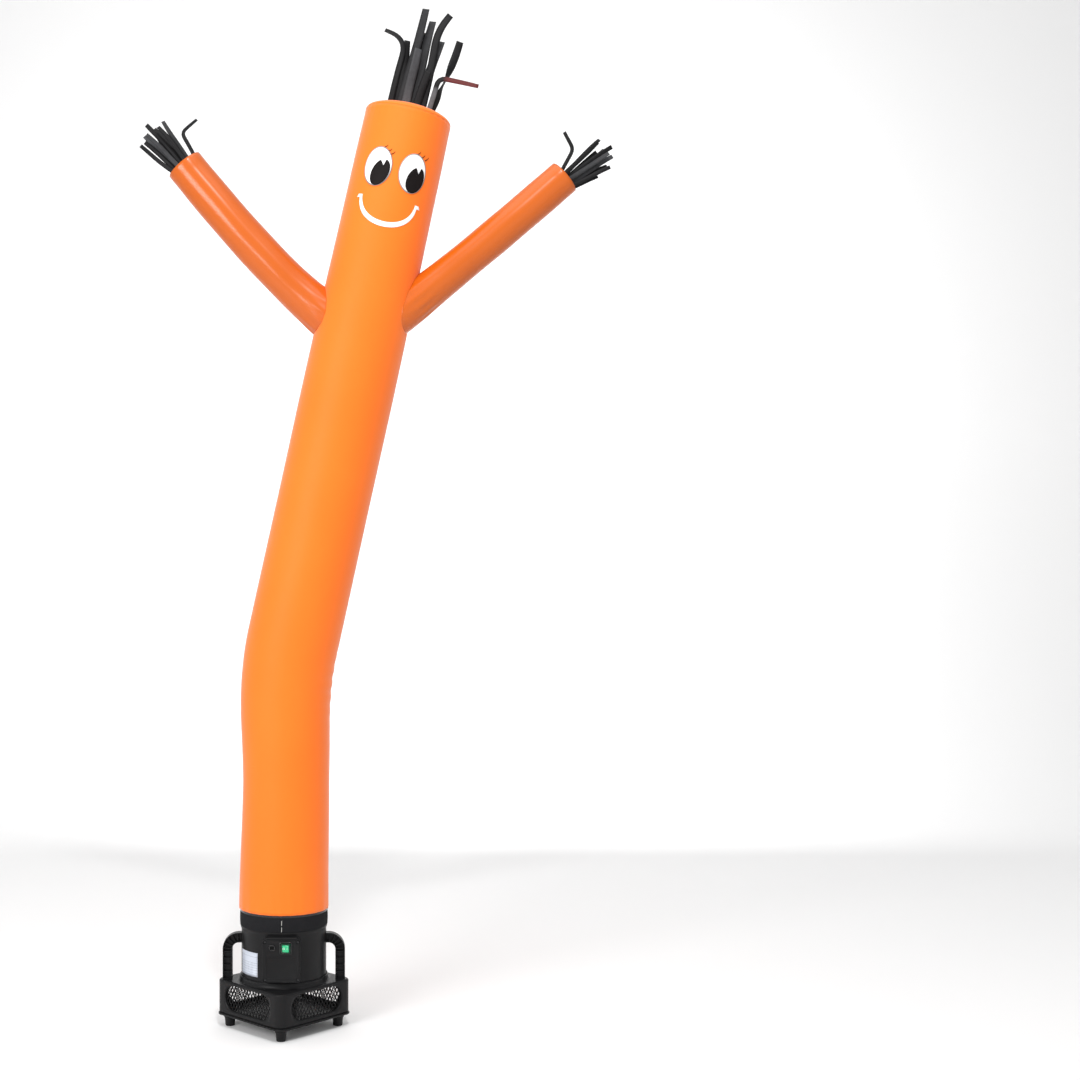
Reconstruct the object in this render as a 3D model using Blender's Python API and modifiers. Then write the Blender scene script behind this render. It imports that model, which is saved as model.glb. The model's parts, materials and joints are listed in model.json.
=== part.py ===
"""Inflatable air dancer standing on its electric blower.

Metres, +Z up. The soles of the feet are at z = 0, and the face and the switch look toward -Y.
Every piece is drawn about the blower's upright axis and carried by one empty on that axis, so
that the origin of the whole lies under the middle of its bounding box.
"""

import math

import bmesh
import bpy
import numpy as np
from mathutils import Matrix, Vector

GAP = 0.0003
BLOWER_X = -0.2403
ROUND_STEPS = 32

# Base: a square housing turned 45 degrees, so that one corner looks toward -Y
BASE_TURN = math.radians(45.0)
BASE_SIDE = 0.2505
BASE_CORNER = 0.023
BASE_WALL = 0.003
LIP_OUT = 0.0025
LIP_BOTTOM = 0.031
LIP_TOP = 0.036
SHOULDER_Z = 0.1175
TOP_Z = 0.122
WINDOW_LENGTH = 0.175
WINDOW_HEIGHT = 0.066
WINDOW_Z = 0.081
GRILLE_BORDER = 0.003
GRILLE_RIM = 0.0015
GRILLE_THICK = 0.002
DIAMOND_WIDTH = 0.0218
DIAMOND_HEIGHT = 0.0330
GRILLE_BAR = 0.0022
FOOT_RADIUS_FROM_AXIS = 0.140

# Duct, its hook-and-loop band and the outlet
DUCT_R = 0.1099
DUCT_WALL = 0.003
DUCT_BOTTOM = 0.119
DUCT_TOP = 0.3117
BAND_SEAT_R = 0.1112
BAND_BOTTOM = 0.266
BAND_TOP = 0.3015
BAND_R = 0.1132
RING_R = 0.1132
RING_BOTTOM = 0.302
RING_TOP = 0.314
RING_HOLE_R = 0.103
GUARD_RING_RADII = (0.040, 0.070, 0.1015)
GUARD_SPOKES = 3
RING_SCREW_Z = 0.3050

# Handles: the outer corner of each is a quarter circle
HANDLE_OUT_X = 0.1585
HANDLE_WIDE = 0.0248
HANDLE_DEEP = 0.024
HANDLE_TOP = 0.242
HANDLE_CURVE = 0.042
HANDLE_WALL = 0.0023
HANDLE_RIB = 0.0017
HANDLE_WEB = 0.003
HANDLE_CELLS = 5
HANDLE_FAN_TURNS = (8.0, 36.0, 62.0, 88.0)

# Control box on the front of the duct
BOX_WIDTH = 0.090
BOX_FRONT = 0.120
LID_WIDTH = 0.096
LID_BOTTOM = 0.142
LID_HEIGHT = 0.108
LID_THICK = 0.006
LID_CORNER = 0.006
LID_FRONT = BOX_FRONT + GAP + LID_THICK
GLAND_X = -0.0235
GLAND_Z = 0.2305
GLAND_R = 0.009
SWITCH_X = 0.011
SWITCH_Z = 0.2295
BEZEL_SIZE = (0.034, 0.031)
COVER_SIZE = (0.0264, 0.0244)
COVER_HOLE = (0.0195, 0.0180)
COVER_HEIGHT = 0.0075
ROCKER_SIZE = (0.0164, 0.0174)
ROCKER_AXIS_OUT = 0.005
ROCKER_TILT = math.radians(10.0)
LABEL_FROM = math.radians(-72.5)
LABEL_TO = math.radians(-34.5)
LABEL_BOTTOM = 0.147
LABEL_TOP = 0.208

# Cloth body: upright at the hem, then bent over by LEAN
CLOTH = 0.0015
HEM_Z = 0.3085
BEND_Z = 0.894
BEND_REACH = 0.110
LEAN = math.radians(12.45)
TUBE_LENGTH = 2.083
BODY_RADII = (
    # height along the axis above the hem, outer radius
    (0.000, 0.1156),
    (0.016, 0.1162),
    (0.120, 0.1148),
    (0.330, 0.1122),
    (0.540, 0.1166),
    (0.690, 0.1194),
    (1.334, 0.1194),
    (1.550, 0.1182),
    (1.706, 0.1164),
    (1.973, 0.1142),
    (2.083, 0.1120),
)
BODY_RINGS = (0.475, 0.600)
SWAY = 0.006
SWAY_LENGTH = 0.70
DOME_HEIGHT = 0.024
DOME_POWER = 2.5

# Arms: each follows a quadratic curve from its hand to its seam inside the body
ARMS = (
    # name, depth, hand x z, middle x z, root x z
    ("arm_left", -0.008, (-0.2574, 2.2340), (0.0032, 1.9120), (0.1446, 1.8182)),
    ("arm_right", -0.020, (0.7257, 2.1992), (0.4704, 1.9775), (0.2961, 1.8444)),
)
ARM_RADII = (
    # share of the way from the hand to the root, left radius, right radius
    (0.00, 0.0488, 0.0446),
    (0.15, 0.0505, 0.0460),
    (0.45, 0.0517, 0.0465),
    (0.65, 0.0525, 0.0470),
    (0.80, 0.0565, 0.0500),
    (0.90, 0.0595, 0.0520),
    (1.00, 0.0600, 0.0530),
)
ARM_STEPS = 10
ARM_SIDES = 20

# Face patches, measured on the unrolled cloth from the front line and down from the tube's top
PATCH = 0.001
PATCH_LIFT = 0.0005
EYE_TURN = math.radians(23.2)
EYE_DROP = 0.1635
EYE_HALF = (0.0375, 0.0510)
PUPIL_HALF = (0.0225, 0.0355)
PUPIL_SHIFT = (0.0095, -0.0150)
PUPIL_TILT = math.radians(-18.0)
NOTCH = ((0.0150, 0.0025), (0.0020, 0.0230), (0.0215, 0.0270))
SMILE_HALF = 0.0755
SMILE_DROP = (0.2380, 0.3060)
SMILE_WIDTH = (0.0065, 0.0130)
SMILE_TICK = 0.0095

# Ribbons: headings are degrees from upright, positive toward +X
RIBBON_THICK = 0.0012
RIBBON_STEPS = 6
LAYER_PITCH = 0.0072
BACKING_DEEP = 0.030
BACKING_THICK = 0.0022
HAIR_BACKING = 0.122
HAIR = (
    # root, layer, heading, bend, bend from, bend to, length, width
    (-0.014, -1.5, 13.0, 1.0, 0.2, 1.0, 0.150, 0.0220),
    (0.013, -1.5, 17.0, 8.0, 0.3, 1.0, 0.100, 0.0200),
    (0.048, -1.5, 16.0, 88.0, 0.36, 0.56, 0.190, 0.0130),
    (-0.055, -0.5, 15.0, -82.0, 0.55, 0.95, 0.222, 0.0150),
    (-0.026, -0.5, 14.5, 1.0, 0.2, 1.0, 0.260, 0.0220),
    (0.030, -0.5, 11.5, 27.0, 0.60, 1.0, 0.262, 0.0200),
    (-0.038, 0.5, 12.0, -6.0, 0.30, 1.0, 0.175, 0.0190),
    (0.004, 0.5, 12.5, 2.0, 0.20, 1.0, 0.236, 0.0230),
    (0.050, 0.5, 27.0, -11.0, 0.30, 1.0, 0.206, 0.0190),
    (-0.012, 1.5, 11.0, 5.0, 0.20, 1.0, 0.208, 0.0220),
    (0.024, 1.5, 15.0, 6.0, 0.20, 1.0, 0.196, 0.0240),
)
LEFT_HAND = (
    (-0.031, -1.5, -53.0, 3.0, 0.3, 1.0, 0.122, 0.0110),
    (-0.013, -1.5, -44.0, -5.0, 0.3, 1.0, 0.132, 0.0120),
    (0.007, -1.5, -36.0, -8.0, 0.3, 1.0, 0.128, 0.0120),
    (-0.024, -0.5, -47.0, -3.0, 0.3, 1.0, 0.124, 0.0120),
    (-0.004, -0.5, -41.0, -3.0, 0.3, 1.0, 0.155, 0.0130),
    (0.014, -0.5, -35.0, 4.0, 0.3, 1.0, 0.136, 0.0120),
    (0.031, -0.5, -29.0, 78.0, 0.50, 0.72, 0.132, 0.0100),
    (-0.018, 0.5, -46.0, 2.0, 0.3, 1.0, 0.140, 0.0130),
    (0.003, 0.5, -39.0, -6.0, 0.3, 1.0, 0.138, 0.0130),
    (-0.006, 1.5, -42.0, 6.0, 0.3, 1.0, 0.118, 0.0130),
    (0.010, 1.5, -37.0, -6.0, 0.3, 1.0, 0.126, 0.0120),
)
RIGHT_HAND = (
    (0.029, -1.5, 62.0, 6.0, 0.3, 1.0, 0.120, 0.0110),
    (0.012, -1.5, 56.0, 3.0, 0.3, 1.0, 0.138, 0.0120),
    (-0.003, -1.5, 46.0, 2.0, 0.3, 1.0, 0.134, 0.0120),
    (0.030, -0.5, 66.0, 2.0, 0.3, 1.0, 0.084, 0.0120),
    (0.019, -0.5, 57.0, 3.0, 0.3, 1.0, 0.144, 0.0130),
    (0.004, -0.5, 54.0, 5.0, 0.3, 1.0, 0.158, 0.0130),
    (-0.008, -0.5, 27.0, -55.0, 0.52, 0.74, 0.132, 0.0100),
    (0.024, 0.5, 59.0, 8.0, 0.3, 1.0, 0.122, 0.0120),
    (0.009, 0.5, 53.0, -5.0, 0.3, 1.0, 0.140, 0.0130),
    (-0.004, 0.5, 44.0, 3.0, 0.3, 1.0, 0.149, 0.0120),
    (0.004, 1.5, 50.0, -4.0, 0.3, 1.0, 0.126, 0.0120),
)

COLOURS = {
    # name: red, green, blue, roughness, metallic
    "body_nylon": (1.00, 0.33, 0.07, 0.55, 0.0),
    "arm_nylon": (0.92, 0.20, 0.02, 0.50, 0.0),
    "black_ribbon": (0.012, 0.012, 0.013, 0.45, 0.0),
    "white_patch": (0.90, 0.90, 0.90, 0.60, 0.0),
    "dark_patch": (0.025, 0.020, 0.020, 0.60, 0.0),
    "black_plastic": (0.020, 0.020, 0.021, 0.45, 0.0),
    "black_hook_tape": (0.012, 0.012, 0.013, 0.95, 0.0),
    "dark_metal": (0.060, 0.060, 0.065, 0.40, 0.8),
    "green_cover": (0.004, 0.060, 0.035, 0.25, 0.0),
    "green_rocker": (0.020, 0.450, 0.220, 0.30, 0.0),
    "blank_label": (0.75, 0.77, 0.80, 0.40, 0.0),
}


def clear_scene():
    """Remove every object, so that the file holds the air dancer alone."""
    for item in list(bpy.data.objects):
        bpy.data.objects.remove(item, do_unlink=True)


def new_collection(name):
    """Return a new collection linked to the scene."""
    collection = bpy.data.collections.new(name)
    bpy.context.scene.collection.children.link(collection)
    return collection


def make_material(name):
    """Return the Principled material of one row of COLOURS."""
    red, green, blue, roughness, metallic = COLOURS[name]
    material = bpy.data.materials.new(name)
    material.use_nodes = True
    shader = material.node_tree.nodes["Principled BSDF"]
    shader.inputs["Base Color"].default_value = (red, green, blue, 1.0)
    shader.inputs["Roughness"].default_value = roughness
    shader.inputs["Metallic"].default_value = metallic
    return material


def add_object(name, mesh, material=None):
    """Link a mesh as a part of the air dancer, carried by the blower's axis."""
    item = bpy.data.objects.new(name, mesh)
    PARTS.objects.link(item)
    item.parent = AXIS
    if material is not None:
        mesh.materials.clear()
        mesh.materials.append(MATERIALS[material])
    mesh.shade_smooth()
    mesh.set_sharp_from_angle(angle=math.radians(35.0))
    return item


def add_cutter(name, mesh):
    """Link a mesh as a cutter, which is kept apart from the parts."""
    item = bpy.data.objects.new(name, mesh)
    CUTTERS.objects.link(item)
    item.parent = AXIS
    item.hide_render = True
    item.display_type = "WIRE"
    return item


def boolean(item, other, operation="DIFFERENCE"):
    """Cut, join or clip one object with another."""
    modifier = item.modifiers.new(operation.lower(), "BOOLEAN")
    modifier.operation = operation
    modifier.solver = "EXACT"
    modifier.object = other
    return modifier


def solidify(item, thickness, offset=-1.0):
    """Give an open surface a thickness, inward by default."""
    modifier = item.modifiers.new("thickness", "SOLIDIFY")
    modifier.thickness = thickness
    modifier.offset = offset
    modifier.use_even_offset = True
    return modifier


def bevel(item, width, segments=2, angle=40.0):
    """Round the sharp edges of a piece."""
    modifier = item.modifiers.new("edge", "BEVEL")
    modifier.width = width
    modifier.segments = segments
    modifier.limit_method = "ANGLE"
    modifier.angle_limit = math.radians(angle)
    return modifier


def mesh_of(builder):
    """Return a mesh made by a builder that fills a bmesh."""
    shape = bmesh.new()
    builder(shape)
    mesh = bpy.data.meshes.new("shape")
    shape.to_mesh(mesh)
    shape.free()
    return mesh


def block_mesh(width, depth, height, centre=(0.0, 0.0, 0.0)):
    """Return a box mesh of the given size."""
    def builder(shape):
        """Fill the bmesh with one scaled cube."""
        size = Matrix.Diagonal((width, depth, height, 1.0))
        bmesh.ops.create_cube(shape, size=1.0, matrix=Matrix.Translation(centre) @ size)
    return mesh_of(builder)


def rod_mesh(radius, length, sides, end_radius=None):
    """Return a rod or cone mesh along Z, centred on the origin."""
    tip = radius if end_radius is None else end_radius
    def builder(shape):
        """Fill the bmesh with one capped cone."""
        bmesh.ops.create_cone(shape, cap_ends=True, segments=sides, radius1=radius, radius2=tip, depth=length)
    return mesh_of(builder)


def turned(name, profile, material, closed=True, steps=ROUND_STEPS):
    """Return a turned piece. The profile of (radius, height) runs down its outer side."""
    count = len(profile)
    edges = [(i, i + 1) for i in range(count - 1)]
    if closed:
        edges.append((count - 1, 0))
    mesh = bpy.data.meshes.new(name)
    mesh.from_pydata([(radius, 0.0, height) for radius, height in profile], edges, [])
    item = add_object(name, mesh, material)
    screw = item.modifiers.new("turn", "SCREW")
    screw.steps = steps
    screw.render_steps = steps
    screw.use_merge_vertices = True
    screw.merge_threshold = 0.00001
    screw.use_smooth_shade = True
    return item


def outline_mesh(points, thickness):
    """Return a flat plate mesh in the XY plane from a closed outline."""
    curve = bpy.data.curves.new("outline", "CURVE")
    curve.dimensions = "2D"
    curve.fill_mode = "BOTH"
    curve.extrude = thickness / 2.0
    spline = curve.splines.new("POLY")
    spline.points.add(len(points) - 1)
    for place, (x, y) in zip(spline.points, points):
        place.co = (x, y, 0.0, 1.0)
    spline.use_cyclic_u = True
    return welded_mesh(curve)


def tube_mesh(points, radii, sides, caps):
    """Return a tube mesh along a path with its own radius at each point."""
    curve = bpy.data.curves.new("tube", "CURVE")
    curve.dimensions = "3D"
    curve.bevel_depth = 1.0
    curve.bevel_resolution = (sides - 4) // 2
    curve.use_fill_caps = caps
    spline = curve.splines.new("POLY")
    spline.points.add(len(points) - 1)
    for place, (x, y, z), radius in zip(spline.points, points, radii):
        place.co = (x, y, z, 1.0)
        place.radius = radius
    return welded_mesh(curve)


def welded_mesh(curve):
    """Return the welded mesh of a curve, and remove the curve."""
    holder = bpy.data.objects.new("curve", curve)
    bpy.context.scene.collection.objects.link(holder)
    evaluated = holder.evaluated_get(bpy.context.evaluated_depsgraph_get())
    mesh = bpy.data.meshes.new_from_object(evaluated)
    bpy.data.objects.remove(holder, do_unlink=True)
    shape = bmesh.new()
    shape.from_mesh(mesh)
    bmesh.ops.remove_doubles(shape, verts=shape.verts, dist=0.00001)
    if curve.dimensions == "2D":
        bmesh.ops.dissolve_limit(shape, angle_limit=math.radians(0.5), verts=shape.verts, edges=shape.edges)
    bmesh.ops.recalc_face_normals(shape, faces=shape.faces)
    shape.to_mesh(mesh)
    shape.free()
    return mesh


def add_sheet(shape, across, along, place):
    """Add a grid of cells to a bmesh and carry each point to place(a, b), a and b in -1 to 1."""
    made = bmesh.ops.create_grid(shape, x_segments=across, y_segments=along, size=1.0)
    for point in made["verts"]:
        point.co = place(point.co.x, point.co.y)


def arc_points(centre, radius, start, stop, steps):
    """Return points along an arc, angles in degrees."""
    turns = np.radians(np.linspace(start, stop, steps + 1))
    return [(centre[0] + radius * math.cos(t), centre[1] + radius * math.sin(t)) for t in turns]


def rounded_rectangle(width, height, corner, steps=4):
    """Return the outline of a rectangle with round corners."""
    points = []
    for index, (side_x, side_y) in enumerate(((1, 1), (-1, 1), (-1, -1), (1, -1))):
        centre = (side_x * (width / 2 - corner), side_y * (height / 2 - corner))
        points += arc_points(centre, corner, 90.0 * index, 90.0 * index + 90.0, steps)
    return points


def square_ring(side, corner, arc_steps=4, edge_steps=4):
    """Return the points of a rounded square, with points along its straight sides too."""
    points = []
    reach = side / 2 - corner
    half_turn = math.atan(reach / (side / 2))
    for index in range(4):
        turn = Matrix.Rotation(math.radians(90.0 * index), 2)
        for step in range(edge_steps):
            seen = half_turn * (2 * step / edge_steps - 1)
            points.append(turn @ Vector((side / 2, side / 2 * math.tan(seen))))
        for x, y in arc_points((reach, reach), corner, 0.0, 90.0, arc_steps)[:-1]:
            points.append(turn @ Vector((x, y)))
    return points


def round_ring(like, radius):
    """Return points of a circle at the same angles as another ring."""
    return [point.normalized() * radius for point in like]


def facing_front(mesh):
    """Turn a plate drawn in XY upright, so that its front looks toward -Y."""
    mesh.transform(Matrix.Rotation(math.radians(90.0), 4, "X"))
    return mesh


def build_housing():
    """Base housing: a loft from a rounded square to a round collar, with four oval windows."""
    foot = square_ring(BASE_SIDE, BASE_CORNER)
    rings = (
        (foot, LIP_TOP + GAP),
        (foot, SHOULDER_Z),
        (square_ring(BASE_SIDE - 0.002, BASE_CORNER - 0.001), SHOULDER_Z + 0.0030),
        (square_ring(BASE_SIDE - 0.007, BASE_CORNER - 0.0035), TOP_Z),
        (round_ring(foot, 0.1195), TOP_Z + 0.0001),
        (round_ring(foot, 0.1165), TOP_Z + 0.0022),
        (round_ring(foot, 0.1136), TOP_Z + 0.0075),
        (round_ring(foot, 0.1128), TOP_Z + 0.0140),
    )
    count = len(foot)
    points = [(p.x, p.y, z) for ring, z in rings for p in ring]
    faces = []
    for level in range(len(rings) - 1):
        for i in range(count):
            low = level * count
            right = (i + 1) % count
            faces.append((low + i, low + right, low + count + right, low + count + i))
    mesh = bpy.data.meshes.new("base_housing")
    mesh.from_pydata(points, [], faces)
    item = add_object("base_housing", mesh, "black_plastic")
    item.rotation_euler.z = BASE_TURN
    solidify(item, BASE_WALL)
    hole = add_cutter("collar_hole", rod_mesh(DUCT_R + GAP, 0.1, ROUND_STEPS))
    hole.location.z = TOP_Z
    boolean(item, hole)
    for index in range(2):
        outline = rounded_rectangle(WINDOW_LENGTH, WINDOW_HEIGHT, WINDOW_HEIGHT / 2 - 0.0001, 6)
        window = add_cutter(f"window_{index}", facing_front(outline_mesh(outline, 0.4)))
        window.location.z = WINDOW_Z
        window.rotation_euler.z = BASE_TURN + math.radians(90.0 * index)
        boolean(item, window)


def diamond_mesh():
    """Return the prisms of the grille's diamond gaps, standing in the XZ plane."""
    slope = math.hypot(2 / DIAMOND_WIDTH, 2 / DIAMOND_HEIGHT)
    shrink = 1.0 - GRILLE_BAR / 2 * slope
    columns = int(WINDOW_LENGTH / DIAMOND_WIDTH) + 1
    rows = int(WINDOW_HEIGHT / DIAMOND_HEIGHT) + 1
    straight = WINDOW_LENGTH / 2 - WINDOW_HEIGHT / 2

    def inside(x, z):
        """Tell whether a diamond's middle lies well inside the oval window."""
        beyond = max(abs(x) - straight, 0.0)
        return math.hypot(beyond, z) < WINDOW_HEIGHT / 2 - 0.003

    def builder(shape):
        """Fill the bmesh with one four-sided prism for each gap."""
        size = Matrix.Diagonal((DIAMOND_WIDTH / 2 * shrink, DIAMOND_HEIGHT / 2 * shrink, 1.0, 1.0))
        upright = Matrix.Rotation(math.radians(90.0), 4, "X")
        for column in range(-columns, columns + 1):
            for row in range(-2 * rows, 2 * rows + 1):
                x = column * DIAMOND_WIDTH / 2
                z = row * DIAMOND_HEIGHT / 2
                if (column + row) % 2 == 0 and inside(x, z):
                    place = Matrix.Translation((x, 0.0, z)) @ upright @ size
                    bmesh.ops.create_cone(
                        shape, cap_ends=True, segments=4, radius1=1.0, radius2=1.0, depth=0.02, matrix=place
                    )
    return mesh_of(builder)


def build_grilles():
    """Four diamond grilles, each lying behind one window of the housing."""
    gaps = add_cutter("grille_gaps", diamond_mesh())
    border = WINDOW_HEIGHT / 2 - GRILLE_RIM
    outline = rounded_rectangle(WINDOW_LENGTH - 2 * GRILLE_RIM, 2 * border, border - 0.0001, 6)
    field = add_cutter("grille_field", facing_front(outline_mesh(outline, 0.01)))
    boolean(gaps, field, "INTERSECT")
    height = WINDOW_HEIGHT + 2 * GRILLE_BORDER
    plate = rounded_rectangle(WINDOW_LENGTH + 2 * GRILLE_BORDER, height, height / 2 - 0.0001, 6)
    first = facing_front(outline_mesh(plate, GRILLE_THICK))
    first.materials.append(MATERIALS["black_plastic"])
    pierced = add_cutter("grille_plate", first)
    boolean(pierced, gaps)
    bpy.context.view_layer.update()
    mesh = bpy.data.meshes.new_from_object(pierced.evaluated_get(bpy.context.evaluated_depsgraph_get()))
    bpy.data.objects.remove(pierced, do_unlink=True)
    inset = BASE_SIDE / 2 - BASE_WALL - GAP - GRILLE_THICK / 2
    for index, name in enumerate(("front_right", "back_right", "back_left", "front_left")):
        item = add_object(f"grille_{name}", mesh)
        turn = BASE_TURN + math.radians(90.0 * index)
        item.rotation_euler.z = turn
        item.location = (inset * math.sin(turn), -inset * math.cos(turn), WINDOW_Z)


def build_bottom():
    """Bottom plate, whose lip stands out all round, and the four stepped feet."""
    side = BASE_SIDE + 2 * LIP_OUT
    outline = rounded_rectangle(side, side, BASE_CORNER + LIP_OUT)
    plate = add_object("bottom_plate", outline_mesh(outline, LIP_TOP - LIP_BOTTOM), "black_plastic")
    plate.location.z = (LIP_TOP + LIP_BOTTOM) / 2
    plate.rotation_euler.z = BASE_TURN
    bevel(plate, 0.0018)
    profile = (
        (0.0, LIP_BOTTOM - GAP),
        (0.0160, LIP_BOTTOM - GAP),
        (0.0158, 0.0232),
        (0.0150, 0.0216),
        (0.0138, 0.0212),
        (0.0122, 0.0020),
        (0.0108, 0.0),
        (0.0, 0.0),
    )
    for index, name in enumerate(("front", "right", "back", "left")):
        turn = math.radians(90.0 * index)
        foot = turned(f"foot_{name}", profile, "black_plastic", closed=False, steps=12)
        foot.location = (FOOT_RADIUS_FROM_AXIS * math.sin(turn), -FOOT_RADIUS_FROM_AXIS * math.cos(turn), 0.0)


def build_duct():
    """Duct with the ledge under its band, the band, the outlet ring and its screws."""
    inner = DUCT_R - DUCT_WALL
    turned("duct", (
        (inner, DUCT_TOP),
        (BAND_SEAT_R, DUCT_TOP),
        (BAND_SEAT_R, BAND_BOTTOM - GAP),
        (BAND_SEAT_R + 0.0012, BAND_BOTTOM - 0.0015),
        (BAND_SEAT_R, BAND_BOTTOM - 0.0055),
        (DUCT_R, BAND_BOTTOM - 0.0090),
        (DUCT_R, DUCT_BOTTOM),
        (inner, DUCT_BOTTOM),
    ), "black_plastic")
    seat = BAND_SEAT_R + GAP
    turned("hook_band", (
        (seat, BAND_TOP),
        (BAND_R - 0.0008, BAND_TOP),
        (BAND_R, BAND_TOP - 0.0020),
        (BAND_R, BAND_BOTTOM + 0.0030),
        (BAND_R - 0.0009, BAND_BOTTOM),
        (seat, BAND_BOTTOM),
    ), "black_hook_tape")
    step = DUCT_TOP + GAP
    turned("outlet_ring", (
        (RING_HOLE_R, RING_TOP),
        (RING_R - 0.0008, RING_TOP),
        (RING_R, RING_TOP - 0.0008),
        (RING_R, RING_BOTTOM),
        (seat, RING_BOTTOM),
        (seat, step),
        (RING_HOLE_R, step),
    ), "black_plastic")
    screw_profile = ((0.0, 0.0013), (0.0014, 0.0012), (0.0026, 0.0006), (0.0029, 0.0), (0.0, 0.0))
    for index, name in enumerate(("front", "right", "back", "left")):
        screw = turned(f"ring_screw_{name}", screw_profile, "dark_metal", closed=False, steps=12)
        turn = math.radians(90.0 * index)
        screw.location = ((RING_R + GAP) * math.sin(turn), -(RING_R + GAP) * math.cos(turn), RING_SCREW_Z)
        screw.rotation_euler = (math.radians(90.0), 0.0, turn)


def build_guard():
    """Outlet guard: rings on crossing spokes about a hub."""
    middle = RING_TOP - 0.0012
    guard = add_object("outlet_guard", rod_mesh(0.0120, 0.0030, 16), "black_plastic")
    guard.location.z = middle
    reach = GUARD_RING_RADII[-1] + 0.0004
    for index in range(GUARD_SPOKES):
        spoke = add_cutter(f"guard_spoke_{index}", block_mesh(2 * reach, 0.0028, 0.0020))
        spoke.location.z = middle
        spoke.rotation_euler.z = math.radians(180.0 / GUARD_SPOKES * index + 90.0)
        boolean(guard, spoke, "UNION")

    def rings(shape):
        """Fill the bmesh with one square-sectioned ring for each radius."""
        for radius in GUARD_RING_RADII:
            corners = ((radius + 0.0012, 0.0007), (radius + 0.0012, -0.0007))
            corners += ((radius - 0.0012, -0.0007), (radius - 0.0012, 0.0007))
            points = [shape.verts.new((x, 0.0, z)) for x, z in corners]
            edges = [shape.edges.new((points[i], points[(i + 1) % 4])) for i in range(4)]
            bmesh.ops.spin(
                shape, geom=points + edges, axis=(0, 0, 1), cent=(0, 0, 0), steps=16,
                angle=math.tau, use_merge=True,
            )
        bmesh.ops.remove_doubles(shape, verts=shape.verts, dist=0.00001)
        bmesh.ops.recalc_face_normals(shape, faces=shape.faces)
    ring_set = add_cutter("guard_rings", mesh_of(rings))
    ring_set.location.z = middle
    boolean(guard, ring_set, "UNION")


def handle_outline():
    """Return the outline of the left handle in XZ, from its foot round to the duct."""
    centre = (-(HANDLE_OUT_X - HANDLE_CURVE), HANDLE_TOP - HANDLE_CURVE)
    foot = TOP_Z + 0.0001 + GAP
    inner_x = -(HANDLE_OUT_X - HANDLE_WIDE)
    end_x = -(DUCT_R - 0.003)
    outline = [(inner_x, foot), (-HANDLE_OUT_X, foot)]
    outline += arc_points(centre, HANDLE_CURVE, 180.0, 90.0, 8)
    outline += [(end_x, HANDLE_TOP), (end_x, HANDLE_TOP - HANDLE_WIDE)]
    outline += arc_points(centre, HANDLE_CURVE - HANDLE_WIDE, 90.0, 180.0, 6)
    return outline


def handle_cells():
    """Return the outlines of the pockets between the left handle's ribs."""
    centre = (-(HANDLE_OUT_X - HANDLE_CURVE), HANDLE_TOP - HANDLE_CURVE)
    outer = HANDLE_CURVE - HANDLE_WALL
    inner = HANDLE_CURVE - HANDLE_WIDE + HANDLE_WALL
    left = -HANDLE_OUT_X + HANDLE_WALL
    right = left + HANDLE_WIDE - 2 * HANDLE_WALL
    foot = TOP_Z + 0.0001 + GAP + HANDLE_WALL
    pitch = (centre[1] + 0.004 - foot) / HANDLE_CELLS
    cells = []
    for index in range(HANDLE_CELLS):
        low = foot + pitch * index
        high = low + pitch - HANDLE_RIB
        cells.append([(left, low), (right, low), (right, min(high, centre[1])), (left, min(high, centre[1]))])
    rib_turn = math.degrees(HANDLE_RIB / (0.7 * HANDLE_CURVE))
    for start, stop in zip(HANDLE_FAN_TURNS[:-1], HANDLE_FAN_TURNS[1:]):
        cell = arc_points(centre, outer, 180.0 - start - rib_turn, 180.0 - stop, 3)
        cell += arc_points(centre, inner, 180.0 - stop, 180.0 - start - rib_turn, 3)
        cells.append(cell)
    return cells


def build_handles():
    """Two like handles with ribs and pockets on both faces, the second turned half round."""
    outline = facing_front(outline_mesh(handle_outline(), HANDLE_DEEP))
    pocket = (HANDLE_DEEP - HANDLE_WEB) / 2
    shape = bmesh.new()
    for side in (-1.0, 1.0):
        for cell in handle_cells():
            prism = facing_front(outline_mesh(cell, pocket + 0.002))
            prism.transform(Matrix.Translation((0.0, side * (HANDLE_WEB + pocket + 0.002) / 2, 0.0)))
            shape.from_mesh(prism)
    cutter_mesh = bpy.data.meshes.new("handle_pockets")
    shape.to_mesh(cutter_mesh)
    shape.free()
    pockets = add_cutter("handle_pockets", cutter_mesh)
    seat = add_cutter("handle_seat", rod_mesh(DUCT_R + GAP, 0.6, ROUND_STEPS))
    first = add_object("handle_left", outline, "black_plastic")
    boolean(first, pockets)
    boolean(first, seat)
    bpy.context.view_layer.update()
    mesh = bpy.data.meshes.new_from_object(first.evaluated_get(bpy.context.evaluated_depsgraph_get()))
    second = add_object("handle_right", mesh)
    second.rotation_euler.z = math.pi


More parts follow.
